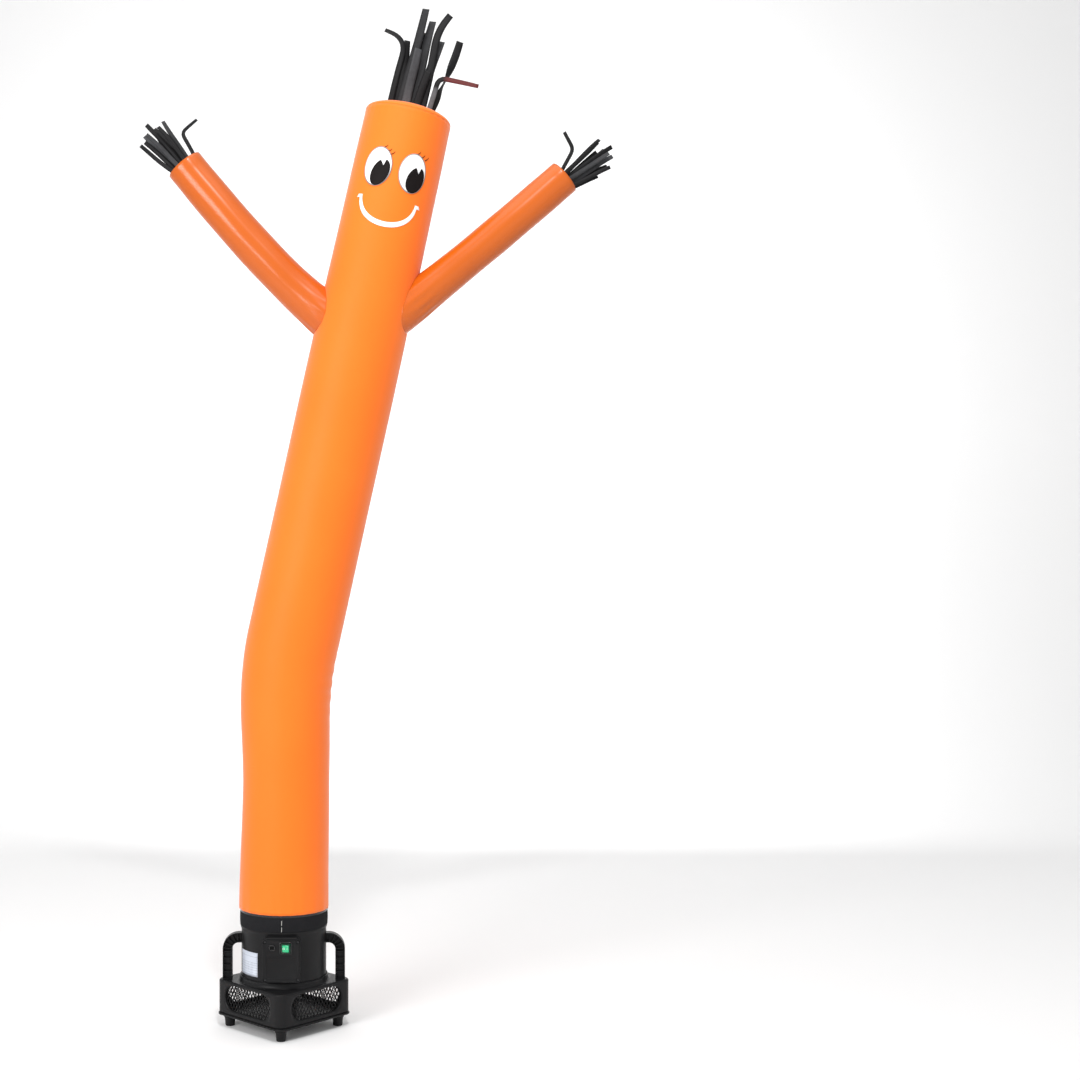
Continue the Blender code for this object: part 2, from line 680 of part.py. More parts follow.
def build_box():
    """Control box, its lid with four screw wells and a sunk field, the gland and the label."""
    lid_z = LID_BOTTOM + LID_HEIGHT / 2
    deep = BOX_FRONT - 0.09
    box = add_object("control_box", block_mesh(BOX_WIDTH, deep, LID_HEIGHT - 0.006), "black_plastic")
    box.location = (0.0, -(BOX_FRONT - deep / 2), lid_z)
    duct_seat = add_cutter("box_seat", rod_mesh(DUCT_R + GAP, 0.6, ROUND_STEPS))
    boolean(box, duct_seat)
    outline = rounded_rectangle(LID_WIDTH, LID_HEIGHT, LID_CORNER)
    lid = add_object("control_lid", facing_front(outline_mesh(outline, LID_THICK)), "black_plastic")
    lid.location = (0.0, -(LID_FRONT - LID_THICK / 2), lid_z)
    field = rounded_rectangle(0.074, 0.052, 0.002, 2)
    sunk = add_cutter("lid_field", facing_front(outline_mesh(field, 0.004)))
    sunk.location = (0.0, -(LID_FRONT + 0.001), LID_BOTTOM + 0.038)
    boolean(lid, sunk)
    for side_x in (-1.0, 1.0):
        for side_z in (-1.0, 1.0):
            well = add_cutter("lid_well", rod_mesh(0.0044, 0.008, 12))
            well.rotation_euler.x = math.radians(90.0)
            reach_x = LID_WIDTH / 2 - 0.0062
            reach_z = LID_HEIGHT / 2 - 0.0062
            well.location = (side_x * reach_x, -LID_FRONT, lid_z + side_z * reach_z)
            boolean(lid, well)
    gland = add_object("cable_gland", rod_mesh(GLAND_R, 0.0035, 20), "black_plastic")
    gland.rotation_euler.x = math.radians(90.0)
    gland.location = (GLAND_X, -(LID_FRONT + GAP + 0.00175), GLAND_Z)
    slot = add_cutter("gland_slot", block_mesh(0.0105, 0.02, 0.0085))
    slot.location = gland.location
    boolean(gland, slot)

    def label(shape):
        """Fill the bmesh with a sheet that follows the duct."""
        def place(a, b):
            """Carry a grid point onto the duct."""
            turn = LABEL_FROM + (a + 1.0) / 2 * (LABEL_TO - LABEL_FROM)
            z = LABEL_BOTTOM + (b + 1.0) / 2 * (LABEL_TOP - LABEL_BOTTOM)
            radius = DUCT_R + 0.0005
            return Vector((radius * math.sin(turn), -radius * math.cos(turn), z))
        add_sheet(shape, 8, 1, place)
    solidify(add_object("blank_label", mesh_of(label), "blank_label"), 0.0005, 1.0)


def frame_piece(name, outer, hole, height, material):
    """Return a rectangular frame that stands on the lid."""
    outline = rounded_rectangle(outer[0], outer[1], 0.0025, 2)
    item = add_object(name, facing_front(outline_mesh(outline, height)), material)
    item.location = (SWITCH_X, -(LID_FRONT + GAP + height / 2), SWITCH_Z)
    cutter = add_cutter(f"{name}_hole", block_mesh(hole[0], 0.03, hole[1]))
    cutter.location = item.location
    boolean(item, cutter)
    return item


def build_switch():
    """Switch: bezel, cover frame, and the rocker between the frame's upper and lower walls."""
    opening = (COVER_SIZE[0] + 2 * GAP, COVER_SIZE[1] + 2 * GAP)
    frame_piece("switch_bezel", BEZEL_SIZE, opening, 0.0030, "black_plastic")
    frame_piece("switch_cover", COVER_SIZE, COVER_HOLE, COVER_HEIGHT, "green_cover")
    half = ROCKER_SIZE[0] / 2
    section = [(-half, -0.0030), (half, -0.0030), (half, 0.0030), (0.0, 0.0015), (-half, 0.0030)]
    mesh = outline_mesh([(x, -y) for x, y in section], ROCKER_SIZE[1])
    rocker = add_object("switch_rocker", mesh, "green_rocker")
    rocker.location = (SWITCH_X, -(LID_FRONT + ROCKER_AXIS_OUT), SWITCH_Z)
    rocker.rotation_euler.z = -ROCKER_TILT


def build_motor():
    """Finned motor hanging from a bracket that sits inside the duct's lower end."""
    ring_r = DUCT_R - DUCT_WALL - GAP
    low = DUCT_BOTTOM + 0.004
    bracket = turned("motor_bracket", (
        (ring_r - 0.003, low + 0.010),
        (ring_r, low + 0.010),
        (ring_r, low),
        (ring_r - 0.003, low),
    ), "black_plastic")
    plate = add_cutter("bracket_plate", rod_mesh(0.034, 0.0046, 18))
    plate.location.z = low + 0.0045
    for index in range(2):
        arm = add_cutter(f"bracket_arm_{index}", block_mesh(2 * ring_r - 0.003, 0.012, 0.0050))
        arm.location.z = low + 0.0048
        arm.rotation_euler.z = math.radians(90.0 * index)
        boolean(bracket, arm, "UNION")
    boolean(bracket, plate, "UNION")
    top = low + 0.0045 - 0.0023 - GAP
    profile = [(0.0, top), (0.030, top), (0.036, top - 0.004)]
    for index in range(4):
        z = top - 0.010 - 0.014 * index
        profile += [(0.036, z), (0.046, z), (0.046, z - 0.004), (0.036, z - 0.004)]
    profile += [(0.036, top - 0.066), (0.028, top - 0.072), (0.0, top - 0.072)]
    turned("motor", profile, "dark_metal", closed=False, steps=14)


def axis_point(length):
    """Return the body axis at a length above the hem: upright, a round bend, then leaning."""
    sway = SWAY * math.sin(math.pi * min(length / SWAY_LENGTH, 1.0)) ** 2
    bend = BEND_Z - HEM_Z
    radius = BEND_REACH / math.tan(LEAN / 2)
    start = bend - BEND_REACH
    arc = radius * LEAN
    if length <= start:
        return Vector((sway, 0.0, HEM_Z + length))
    turn = min((length - start) / radius, LEAN)
    x = sway + radius * (1.0 - math.cos(turn))
    z = HEM_Z + start + radius * math.sin(turn)
    beyond = max(length - start - arc, 0.0)
    return Vector((x + beyond * math.sin(LEAN), 0.0, z + beyond * math.cos(LEAN)))


def body_radius(length):
    """Return the body's outer radius at a length above the hem."""
    table = np.array(BODY_RADII)
    return float(np.interp(length, table[:, 0], table[:, 1]))


def body_path():
    """Return the axis points and radii of the body's rings."""
    lengths = sorted({row[0] for row in BODY_RADII} | set(BODY_RINGS))
    return [axis_point(s) for s in lengths], [body_radius(s) for s in lengths]


def arm_radii(index):
    """Return the outer radii of one arm along its curve, hand first."""
    table = np.array(ARM_RADII)
    return np.interp(np.linspace(0.0, 1.0, ARM_STEPS), table[:, 0], table[:, index + 1])


def arm_path(hand, middle, root, depth):
    """Return points along an arm's quadratic curve, hand first."""
    points = []
    for t in np.linspace(0.0, 1.0, ARM_STEPS):
        near, mid, far = (1 - t) ** 2, 2 * t * (1 - t), t ** 2
        x = near * hand[0] + mid * middle[0] + far * root[0]
        z = near * hand[1] + mid * middle[1] + far * root[1]
        points.append((x, depth, z))
    return points


def build_body():
    """Body tube with a hole for each arm, and the arms, trimmed where they meet the body."""
    points, radii = body_path()
    body = add_object("body_tube", tube_mesh(points, radii, ROUND_STEPS, False), "body_nylon")
    solidify(body, CLOTH)
    clear = [radius + GAP * 1.3 for radius in radii]
    envelope = add_cutter("body_envelope", tube_mesh(points, clear, ROUND_STEPS, True))
    for index, (name, depth, hand, middle, root) in enumerate(ARMS):
        path = arm_path(hand, middle, root, depth)
        outer = arm_radii(index)
        core = add_cutter(f"{name}_core", tube_mesh(path, outer - CLOTH, ARM_SIDES, True))
        boolean(body, core)
        arm = add_object(name, tube_mesh(path, outer, ARM_SIDES, False), "arm_nylon")
        solidify(arm, CLOTH)
        boolean(arm, envelope)


def dome(distance):
    """Return the head panel's height at a distance from the head's axis."""
    share = min(distance / body_radius(TUBE_LENGTH), 1.0)
    return DOME_HEIGHT * math.sqrt(1.0 - share ** DOME_POWER)


def build_head():
    """Domed head panel, sewn to the tube's upper edge."""
    rim = body_radius(TUBE_LENGTH)
    shares = (0.0, 0.45, 0.75, 0.93, 1.0)
    profile = [(rim * share, dome(rim * share)) for share in shares]
    thinner = (DOME_HEIGHT - CLOTH) / DOME_HEIGHT
    profile += [((rim - CLOTH) * share, dome(rim * share) * thinner) for share in reversed(shares)]
    panel = turned("head_panel", profile, "body_nylon", closed=False)
    place_on_head(panel, GAP)


def place_on_head(item, lift=0.0):
    """Lay a piece drawn about the head's own axis on the leaning tube's upper end."""
    item.location = axis_point(TUBE_LENGTH + lift)
    item.rotation_euler.y = LEAN


def on_face(across, drop, lift):
    """Return a point over the cloth, across from the front line and down from the tube's top."""
    radius = body_radius(TUBE_LENGTH - drop) + lift
    turn = across / body_radius(TUBE_LENGTH - EYE_DROP)
    return Vector((radius * math.sin(turn), -radius * math.cos(turn), -drop))


def disc_point(a, b):
    """Carry a point of the square onto the unit disc."""
    return a * math.sqrt(1.0 - b * b / 2), b * math.sqrt(1.0 - a * a / 2)


def add_patch(name, material, across, along, place):
    """Add a thin patch sewn on the face, its grid points carried by place."""
    patch = add_object(name, mesh_of(lambda shape: add_sheet(shape, across, along, place)), material)
    solidify(patch, PATCH, 1.0)
    place_on_head(patch)
    return patch


def build_face():
    """Eyes, pupils with a notch, and the smile, as thin patches on the cloth."""
    for name, side in (("left", -1.0), ("right", 1.0)):
        centre = side * EYE_TURN * body_radius(TUBE_LENGTH - EYE_DROP)

        def eye(a, b, centre=centre):
            """Carry a grid point onto the white of the eye."""
            x, y = disc_point(a, b)
            return on_face(centre + x * EYE_HALF[0], EYE_DROP - y * EYE_HALF[1], PATCH_LIFT)

        def pupil(a, b, centre=centre):
            """Carry a grid point onto the tilted pupil."""
            x, y = disc_point(a, b)
            wide, high = x * PUPIL_HALF[0], y * PUPIL_HALF[1]
            cos, sin = math.cos(PUPIL_TILT), math.sin(PUPIL_TILT)
            across = centre + PUPIL_SHIFT[0] + wide * cos - high * sin
            drop = EYE_DROP - PUPIL_SHIFT[1] - wide * sin - high * cos
            return on_face(across, drop, 2 * PATCH_LIFT + PATCH)

        add_patch(f"eye_{name}", "white_patch", 8, 8, eye)
        dark = add_patch(f"pupil_{name}", "dark_patch", 8, 8, pupil)
        notch = [(centre + x, y - EYE_DROP) for x, y in NOTCH]
        radius = body_radius(TUBE_LENGTH - EYE_DROP)
        turned_notch = [(radius * math.sin(x / radius), y) for x, y in notch]
        wedge = add_cutter(f"notch_{name}", facing_front(outline_mesh(turned_notch, 0.2)))
        wedge.location = axis_point(TUBE_LENGTH) + Vector((0.0, -0.17, 0.0))
        wedge.rotation_euler.y = LEAN
        boolean(dark, wedge)

    def smile(a, b):
        """Carry a grid point onto the curved stroke, which has a tick at each end."""
        share = abs(b)
        turn = b * math.pi / 2
        width = SMILE_WIDTH[0] + (SMILE_WIDTH[1] - SMILE_WIDTH[0]) * (1.0 - share ** 2)
        outward = a * width / 2
        tick = SMILE_TICK if share > 0.93 and a > 0.5 else 0.0
        fall = SMILE_TICK * 0.7 if tick and share < 0.99 else 0.0
        reach = SMILE_HALF + outward + tick
        deep = SMILE_DROP[1] - SMILE_DROP[0] + outward
        across = reach * math.sin(turn)
        return on_face(across, SMILE_DROP[0] + deep * math.cos(turn) + fall, PATCH_LIFT)
    add_patch("smile", "white_patch", 2, 28, smile)


def ribbon_place(start, heading, bend, bend_from, bend_to, length, width, bow):
    """Return the function that carries a grid onto one ribbon."""
    samples = 40
    shares = (np.arange(samples) + 0.5) / samples
    eased = np.clip((shares - bend_from) / (bend_to - bend_from), 0.0, 1.0)
    eased = eased * eased * (3.0 - 2.0 * eased)
    turns = np.radians(heading + bend * eased)
    steps = length / samples
    path_x = np.concatenate(([0.0], np.cumsum(np.sin(turns) * steps)))
    path_z = np.concatenate(([0.0], np.cumsum(np.cos(turns) * steps)))
    places = np.linspace(0.0, 1.0, samples + 1)

    def place(a, b):
        """Carry a grid point onto the ribbon."""
        t = (b + 1.0) / 2
        turn = float(np.interp(t, shares, turns))
        x = float(np.interp(t, places, path_x)) + a * width / 2 * math.cos(turn)
        z = float(np.interp(t, places, path_z)) - a * width / 2 * math.sin(turn)
        return start + Vector((x, bow * t * t, z))
    return place


def build_fringe(name, rows, backing, centre, along, up):
    """A fringe: ribbons whose roots are fused into one narrow backing strip."""
    def ribbons(shape):
        """Fill the bmesh with one sheet for each row."""
        for root, layer, heading, bend, bend_from, bend_to, length, width in rows:
            start = centre + along * root + Vector((0.0, layer * LAYER_PITCH, 0.0)) + up(root)
            bow = layer * 0.007
            place = ribbon_place(start, heading, bend, bend_from, bend_to, length, width, bow)
            add_sheet(shape, 1, RIBBON_STEPS, place)
    strands = add_cutter(f"{name}_ribbons", mesh_of(ribbons))
    solidify(strands, RIBBON_THICK, 0.0)
    boolean(backing, strands, "UNION")


def build_hair():
    """Hair: ribbons on a strip that follows the top of the head panel."""
    def strip(shape):
        """Fill the bmesh with a sheet over the dome."""
        def place(a, b):
            """Carry a grid point onto the dome."""
            x, y = a * HAIR_BACKING / 2, b * BACKING_DEEP / 2
            return Vector((x, y, dome(math.hypot(x, y)) + GAP + 0.0005))
        add_sheet(shape, 10, 3, place)
    backing = add_object("hair", mesh_of(strip), "black_ribbon")
    solidify(backing, BACKING_THICK, 1.0)
    place_on_head(backing)
    along = Vector((math.cos(LEAN), 0.0, -math.sin(LEAN)))
    upward = Vector((math.sin(LEAN), 0.0, math.cos(LEAN)))

    def up(root):
        """Return the step from the head's rim plane to the middle of the strip."""
        return upward * (dome(abs(root)) + GAP + 0.0005 + BACKING_THICK / 2)
    build_fringe("hair", HAIR, backing, axis_point(TUBE_LENGTH), along, up)


def build_hands():
    """Hand fringes: each on a strip across the open end of an arm."""
    for index, (arm, depth, hand, middle, _root) in enumerate(ARMS):
        rows = (LEFT_HAND, RIGHT_HAND)[index]
        inward = (Vector(middle) - Vector(hand)).normalized()
        inside = (arm_radii(index)[0] - CLOTH) * math.cos(math.pi / ARM_SIDES) - GAP
        reach = math.sqrt(inside ** 2 - (BACKING_DEEP / 2) ** 2)
        set_back = 0.014
        centre = Vector((hand[0] + inward.x * set_back, depth, hand[1] + inward.y * set_back))
        along = Vector((-inward.y, 0.0, inward.x))
        strip = block_mesh(2 * reach, BACKING_DEEP, BACKING_THICK)
        name = arm.replace("arm", "hand_fringe")
        backing = add_object(name, strip, "black_ribbon")
        backing.location = centre
        backing.rotation_euler.y = math.atan2(-along.z, along.x)
        build_fringe(name, rows, backing, centre, along, lambda _root: Vector((0.0, 0.0, 0.0)))


clear_scene()
PARTS = new_collection("inflatable_air_dancer")
CUTTERS = new_collection("cutters")
MATERIALS = {key: make_material(key) for key in COLOURS}
AXIS = bpy.data.objects.new("blower_axis", None)
AXIS.location.x = BLOWER_X
PARTS.objects.link(AXIS)

build_bottom()
build_housing()
build_grilles()
build_motor()
build_duct()
build_guard()
build_handles()
build_box()
build_switch()
build_body()
build_head()
build_face()
build_hair()
build_hands()
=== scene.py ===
"""Inflatable air dancer on its blower: the visual model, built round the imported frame."""

from __future__ import annotations

import functools
import json
import logging
import math
import sys
from dataclasses import dataclass
from enum import Enum
from typing import Any, Sequence

import bmesh
import bpy
import numpy as np
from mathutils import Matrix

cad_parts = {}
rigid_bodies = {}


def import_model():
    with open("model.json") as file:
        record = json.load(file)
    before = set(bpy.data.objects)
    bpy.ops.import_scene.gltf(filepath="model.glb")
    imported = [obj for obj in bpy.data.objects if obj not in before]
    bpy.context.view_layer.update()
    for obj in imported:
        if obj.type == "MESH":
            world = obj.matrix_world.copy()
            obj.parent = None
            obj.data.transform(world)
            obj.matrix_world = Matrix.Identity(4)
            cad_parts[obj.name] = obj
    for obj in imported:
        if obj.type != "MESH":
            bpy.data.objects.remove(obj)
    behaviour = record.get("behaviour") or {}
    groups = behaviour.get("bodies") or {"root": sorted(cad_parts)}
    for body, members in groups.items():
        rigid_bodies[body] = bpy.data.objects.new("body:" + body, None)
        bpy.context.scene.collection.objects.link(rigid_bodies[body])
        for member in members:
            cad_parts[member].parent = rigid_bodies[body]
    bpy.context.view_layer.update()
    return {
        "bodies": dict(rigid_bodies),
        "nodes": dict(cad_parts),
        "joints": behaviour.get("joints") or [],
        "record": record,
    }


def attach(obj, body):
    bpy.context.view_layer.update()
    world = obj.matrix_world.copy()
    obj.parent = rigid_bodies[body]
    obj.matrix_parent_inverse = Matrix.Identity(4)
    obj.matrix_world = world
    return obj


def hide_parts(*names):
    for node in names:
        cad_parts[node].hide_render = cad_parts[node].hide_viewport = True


LOG = logging.getLogger("air_dancer")
Array = np.ndarray
BLOWER_X = -0.2403
BODY = "dancer"
ROCKER = "rocker"
WELD = 0.000002
SHARP = math.radians(38.0)


class Slot(Enum):
    """The record's material slots."""

    BODY_NYLON = "body_nylon"
    ARM_NYLON = "arm_nylon"
    RIBBON = "black_ribbon"
    WHITE = "white_patch"
    DARK = "dark_patch"
    PLASTIC = "black_plastic"
    HOOK_TAPE = "black_hook_tape"
    METAL = "dark_metal"
    COVER = "green_cover"
    ROCKER = "green_rocker"
    LABEL = "blank_label"


# ---- shader writing ----


class Value:
    """A node socket that takes part in Python arithmetic, each operation a Math node."""

    def __init__(self, painter: "Painter", socket: bpy.types.NodeSocket) -> None:
        """Wrap a socket of the painter's tree."""
        self.painter = painter
        self.socket = socket

    def _math(self, operation: str, *terms: Any) -> "Value":
        """Return a Math node's result for this operation on the given terms."""
        return self.painter.value("ShaderNodeMath", {"operation": operation}, dict(enumerate(terms)))

    def __add__(self, other: Any) -> "Value":
        """Sum."""
        return self._math("ADD", self, other)

    def __radd__(self, other: Any) -> "Value":
        """Sum, reflected."""
        return self._math("ADD", other, self)

    def __sub__(self, other: Any) -> "Value":
        """Difference."""
        return self._math("SUBTRACT", self, other)

    def __rsub__(self, other: Any) -> "Value":
        """Difference, reflected."""
        return self._math("SUBTRACT", other, self)

    def __mul__(self, other: Any) -> "Value":
        """Product."""
        return self._math("MULTIPLY", self, other)

    def __rmul__(self, other: Any) -> "Value":
        """Product, reflected."""
        return self._math("MULTIPLY", other, self)

    def __truediv__(self, other: Any) -> "Value":
        """Quotient."""
        return self._math("DIVIDE", self, other)

    def __rtruediv__(self, other: Any) -> "Value":
        """Quotient, reflected."""
        return self._math("DIVIDE", other, self)

    def __mod__(self, other: Any) -> "Value":
        """Remainder, never negative."""
        return self._math("FLOORED_MODULO", self, other)

    def __rmod__(self, other: Any) -> "Value":
        """Remainder, reflected."""
        return self._math("FLOORED_MODULO", other, self)

    def wave(self, pitch: float) -> "Value":
        """Sine wave of the value, one turn to each pitch."""
        return self._math("SINE", self * (math.tau / pitch))

    def size(self) -> "Value":
        """Absolute value."""
        return self._math("ABSOLUTE", self)

    def cell(self) -> "Value":
        """Distance from the middle of the value's unit cell, 0 to a half."""
        return (self % 1.0 - 0.5).size()

    def larger(self, other: Any) -> "Value":
        """Larger of two values."""
        return self._math("MAXIMUM", self, other)

    def smaller(self, other: Any) -> "Value":
        """Smaller of two values."""
        return self._math("MINIMUM", self, other)

    def step(self, low: float, high: float) -> "Value":
        """Smooth step from 0 at low to 1 at high; low may be the larger number."""
        terms = {"Value": self, "From Min": low, "From Max": high}
        return self.painter.value("ShaderNodeMapRange", {"interpolation_type": "SMOOTHSTEP"}, terms)


class Painter:
    """Writes the nodes of one material."""

    def __init__(self, name: str) -> None:
        """Start a material with an empty Principled shader.

        Args:
            name: The material's name.
        """
        self.material = bpy.data.materials.new(name)
        self.material.use_nodes = True
        self.tree = self.material.node_tree
        self.shader = self.tree.nodes["Principled BSDF"]

    def node(self, kind: str, settings: dict[str, Any], terms: dict[Any, Any]) -> bpy.types.Node:
        """Add a node: settings first, then the values or links of its sockets.

        Args:
            kind: The node's type.
            settings: Its own properties.
            terms: Socket name or number to a value, a Value or a plain number or colour.

        Returns:
            The node.
        """
        node = self.tree.nodes.new(kind)
        for key, setting in settings.items():
            setattr(node, key, setting)
        for key, term in terms.items():
            if isinstance(term, Value):
                self.tree.links.new(term.socket, node.inputs[key])
            else:
                node.inputs[key].default_value = term
        return node

    def value(self, kind: str, settings: dict[str, Any], terms: dict[Any, Any], output: Any = 0) -> Value:
        """Add a node and return one of its outputs as a Value."""
        return Value(self, self.node(kind, settings, terms).outputs[output])

    def place(self) -> Value:
        """Object coordinates."""
        return self.value("ShaderNodeTexCoord", {}, {}, "Object")

    def uv(self) -> tuple[Value, Value]:
        """Read the piece's own UV map.

        Returns:
            Its two numbers, in metres.
        """
        vector = self.value("ShaderNodeUVMap", {"uv_map": "UVMap"}, {})
        parts = self.node("ShaderNodeSeparateXYZ", {}, {0: vector})
        return Value(self, parts.outputs[0]), Value(self, parts.outputs[1])

    def attribute(self, name: str) -> Value:
        """One of the piece's own attributes, as a number."""
        return self.value("ShaderNodeAttribute", {"attribute_name": name}, {}, "Fac")

    def noise(self, where: Value, scale: float, detail: float = 3.0, rough: float = 0.5) -> Value:
        """Soft noise from 0 to 1."""
        terms = {"Vector": where, "Scale": scale, "Detail": detail, "Roughness": rough}
        return self.value("ShaderNodeTexNoise", {}, terms)

    def mix(self, share: Any, first: Any, second: Any) -> Value:
        """Colour between first and second."""
        return self.value("ShaderNodeMix", {"data_type": "RGBA"}, {0: share, 6: first, 7: second}, 2)

    def relief(self, height: Value, distance: float, strength: float) -> None:
        """Feed a height in 0 to 1 into the Normal through a Bump node."""
        terms = {"Height": height, "Distance": distance, "Strength": strength}
        self.feed("Normal", self.value("ShaderNodeBump", {}, terms))

    def feed(self, socket: str, term: Any) -> None:
        """Set or link a socket of the shader.

        Args:
            socket: The socket's name.
            term: A Value to link, or a plain number or colour to set.
        """
        if isinstance(term, Value):
            self.tree.links.new(term.socket, self.shader.inputs[socket])
        else:
            self.shader.inputs[socket].default_value = term


Colour = tuple[float, float, float, float]


def colour(red: float, green: float, blue: float) -> Colour:
    """Return a linear colour: ((c / 255 + 0.055) / 1.055) to the power 2.4, or c / 255 / 12.92 if dark."""
    seen = (red / 255, green / 255, blue / 255)
    return *(((c + 0.055) / 1.055) ** 2.4 if c > 0.04 else c / 12.92 for c in seen), 1.0


@dataclass(frozen=True)
class Nylon:
    """Thin coated nylon: a fine weave with a stronger grid of threads, and a soft sheen."""

    name: str
    light: Colour
    deep: Colour
    roughness: float = 0.52
    sheen: float = 0.25
    coat: float = 0.0
    gloss: float = 0.2
    thread: float = 0.0009
    rip_pitch: float = 0.0055
    rip_edge: tuple[float, float] = (0.44, 0.49)
    relief: float = 0.00022

    def make(self) -> bpy.types.Material:
        """Make the material.

        Returns:
            The material.
        """
        p = Painter(self.name)
        where = p.place()
        u, v = p.uv()
        weave = u.wave(self.thread) * v.wave(self.thread) * 0.25 + 0.5
        grid = (u / self.rip_pitch).cell().larger((v / self.rip_pitch).cell()).step(*self.rip_edge)
        cloud = p.noise(where, 3.0)
        mottle = p.noise(where, 60.0, 4.0, 0.6)
        share = (cloud.step(0.35, 0.7) * 0.35 + mottle * 0.12 + grid * 0.06).smaller(1.0)
        p.feed("Base Color", p.mix(share, self.light, self.deep))
        p.feed("Roughness", mottle * 0.10 + grid * 0.04 + (self.roughness - 0.05))
        p.relief(weave * 0.35 + grid * 0.5 + mottle * 0.6, self.relief, 0.35)
        p.feed("Sheen Weight", self.sheen)
        p.feed("Sheen Roughness", 0.4)
        p.feed("Coat Weight", self.coat)
        p.feed("Coat Roughness", 0.2)
        p.feed("Specular IOR Level", self.gloss)
        return p.material


@dataclass(frozen=True)
class Ribbon:
    """Black nylon ribbon: fine ribs along it, a few grey strips and a dark red tip."""

    name: str = "black_ribbon_cloth"
    rib: float = 0.0011
    thread: float = 0.0007
    relief: float = 0.0002

    def make(self) -> bpy.types.Material:
        """Make the material.

        Returns:
            The material.
        """
        p = Painter(self.name)
        where = p.place()
        u, v = p.uv()
        ribs = u.wave(self.rib) * 0.5 + 0.5
        threads = v.wave(self.thread) * 0.5 + 0.5
        mottle = p.noise(where, 90.0)
        black = p.mix(mottle, colour(10, 10, 11), colour(26, 25, 27))
        grey = p.mix(mottle, colour(70, 71, 74), colour(108, 109, 112))
        toned = p.mix(p.attribute("tone"), black, grey)
        p.feed("Base Color", p.mix(p.attribute("warm"), toned, colour(92, 34, 34)))
        p.feed("Roughness", mottle * 0.2 + ribs * 0.06 + 0.38)
        p.relief(ribs * 0.5 + threads * 0.25 + mottle * 0.4, self.relief, 0.5)
        p.feed("Specular IOR Level", 0.2)
        return p.material


@dataclass(frozen=True)
class Patch:
    """Sewn-on patch: plain weave, with an optional outline in the last part of its UV radius."""

    name: str
    light: Colour
    deep: Colour
    edge: Colour | None = None
    edge_from: float = 0.93
    edge_fade: float = 0.02
    thread: float = 0.012
    relief: float = 0.00015

    def make(self) -> bpy.types.Material:
        """Make the material.

        Returns:
            The material.
        """
        p = Painter(self.name)
        where = p.place()
        u, v = p.uv()
        mottle = p.noise(where, 70.0)
        weave = u.wave(self.thread) * v.wave(self.thread) * 0.5 + 0.5
        shade = p.mix(mottle, self.light, self.deep)
        if self.edge is not None:
            rim = (u * u + v * v).step(self.edge_from ** 2, (self.edge_from + self.edge_fade) ** 2)
            shade = p.mix(rim * 0.85, shade, self.edge)
        p.feed("Base Color", shade)
        p.feed("Roughness", mottle * 0.12 + 0.5)
        p.relief(weave * 0.4 + mottle * 0.5, self.relief, 0.3)
        p.feed("Specular IOR Level", 0.12)
        return p.material


@dataclass(frozen=True)
class Plastic:
    """Moulded plastic: fine spark texture, soft flow marks and a little dust."""

    name: str
    base: Colour
    dusty: Colour
    roughness: float = 0.42
    grain: float = 900.0
    depth: float = 0.00012
    coat: float = 0.0
    gloss: float = 0.14

    def make(self) -> bpy.types.Material:
        """Make the material.

        Returns:
            The material.
        """
        p = Painter(self.name)
        where = p.place()
        grain = p.noise(where, self.grain, 2.0, 0.6)
        flow = p.noise(where, 9.0, 3.0, 0.55)
        scuff = p.noise(where, 55.0, 5.0, 0.7).step(0.62, 0.8)
        p.feed("Base Color", p.mix(flow * 0.5 + scuff * 0.35, self.base, self.dusty))
        p.feed("Roughness", flow * 0.12 + scuff * 0.14 + grain * 0.05 + (self.roughness - 0.12))
        p.relief(grain, self.depth, 0.6)
        p.feed("Specular IOR Level", self.gloss)
        p.feed("Coat Weight", self.coat)
        p.feed("Coat Roughness", 0.12)
        return p.material


@dataclass(frozen=True)
class HookTape:
    """Hook-and-loop tape: upright columns of tiny slanting hooks, fuzzy and dark."""

    name: str = "hook_tape_pile"
    column: float = 0.0017
    row: float = 0.0024
    slant: float = 1.1
    relief: float = 0.0007

    def make(self) -> bpy.types.Material:
        """Make the material.

        Returns:
            The material.
        """
        p = Painter(self.name)
        where = p.place()
        u, v = p.uv()
        across = (u / self.column).cell()
        hooks = (v / self.row + across * self.slant).cell().step(0.12, 0.34) * across.step(0.5, 0.30)
        fuzz = p.noise(where, 1400.0, 3.0, 0.7)
        lay = p.noise(where, 40.0)
        shade = (hooks * 0.55 + fuzz * 0.35 + lay * 0.15).smaller(1.0)
        p.feed("Base Color", p.mix(shade, colour(5, 5, 6), colour(50, 50, 53)))
        p.feed("Roughness", fuzz * 0.15 + 0.8)
        p.relief(hooks * 0.7 + fuzz * 0.5, self.relief, 0.9)
        p.feed("Specular IOR Level", 0.1)
        return p.material


@dataclass(frozen=True)
class Metal:
    """Dark cast metal with a dull coat."""

    name: str = "dark_cast_metal"
    relief: float = 0.0001

    def make(self) -> bpy.types.Material:
        """Make the material.

        Returns:
            The material.
        """
        p = Painter(self.name)
        where = p.place()
        grain = p.noise(where, 500.0, 3.0, 0.6)
        stain = p.noise(where, 30.0)
        p.feed("Base Color", p.mix(stain, colour(38, 38, 40), colour(78, 78, 80)))
        p.feed("Metallic", 0.7)
        p.feed("Roughness", stain * 0.2 + grain * 0.08 + 0.32)
        p.relief(grain, self.relief, 0.5)
        return p.material


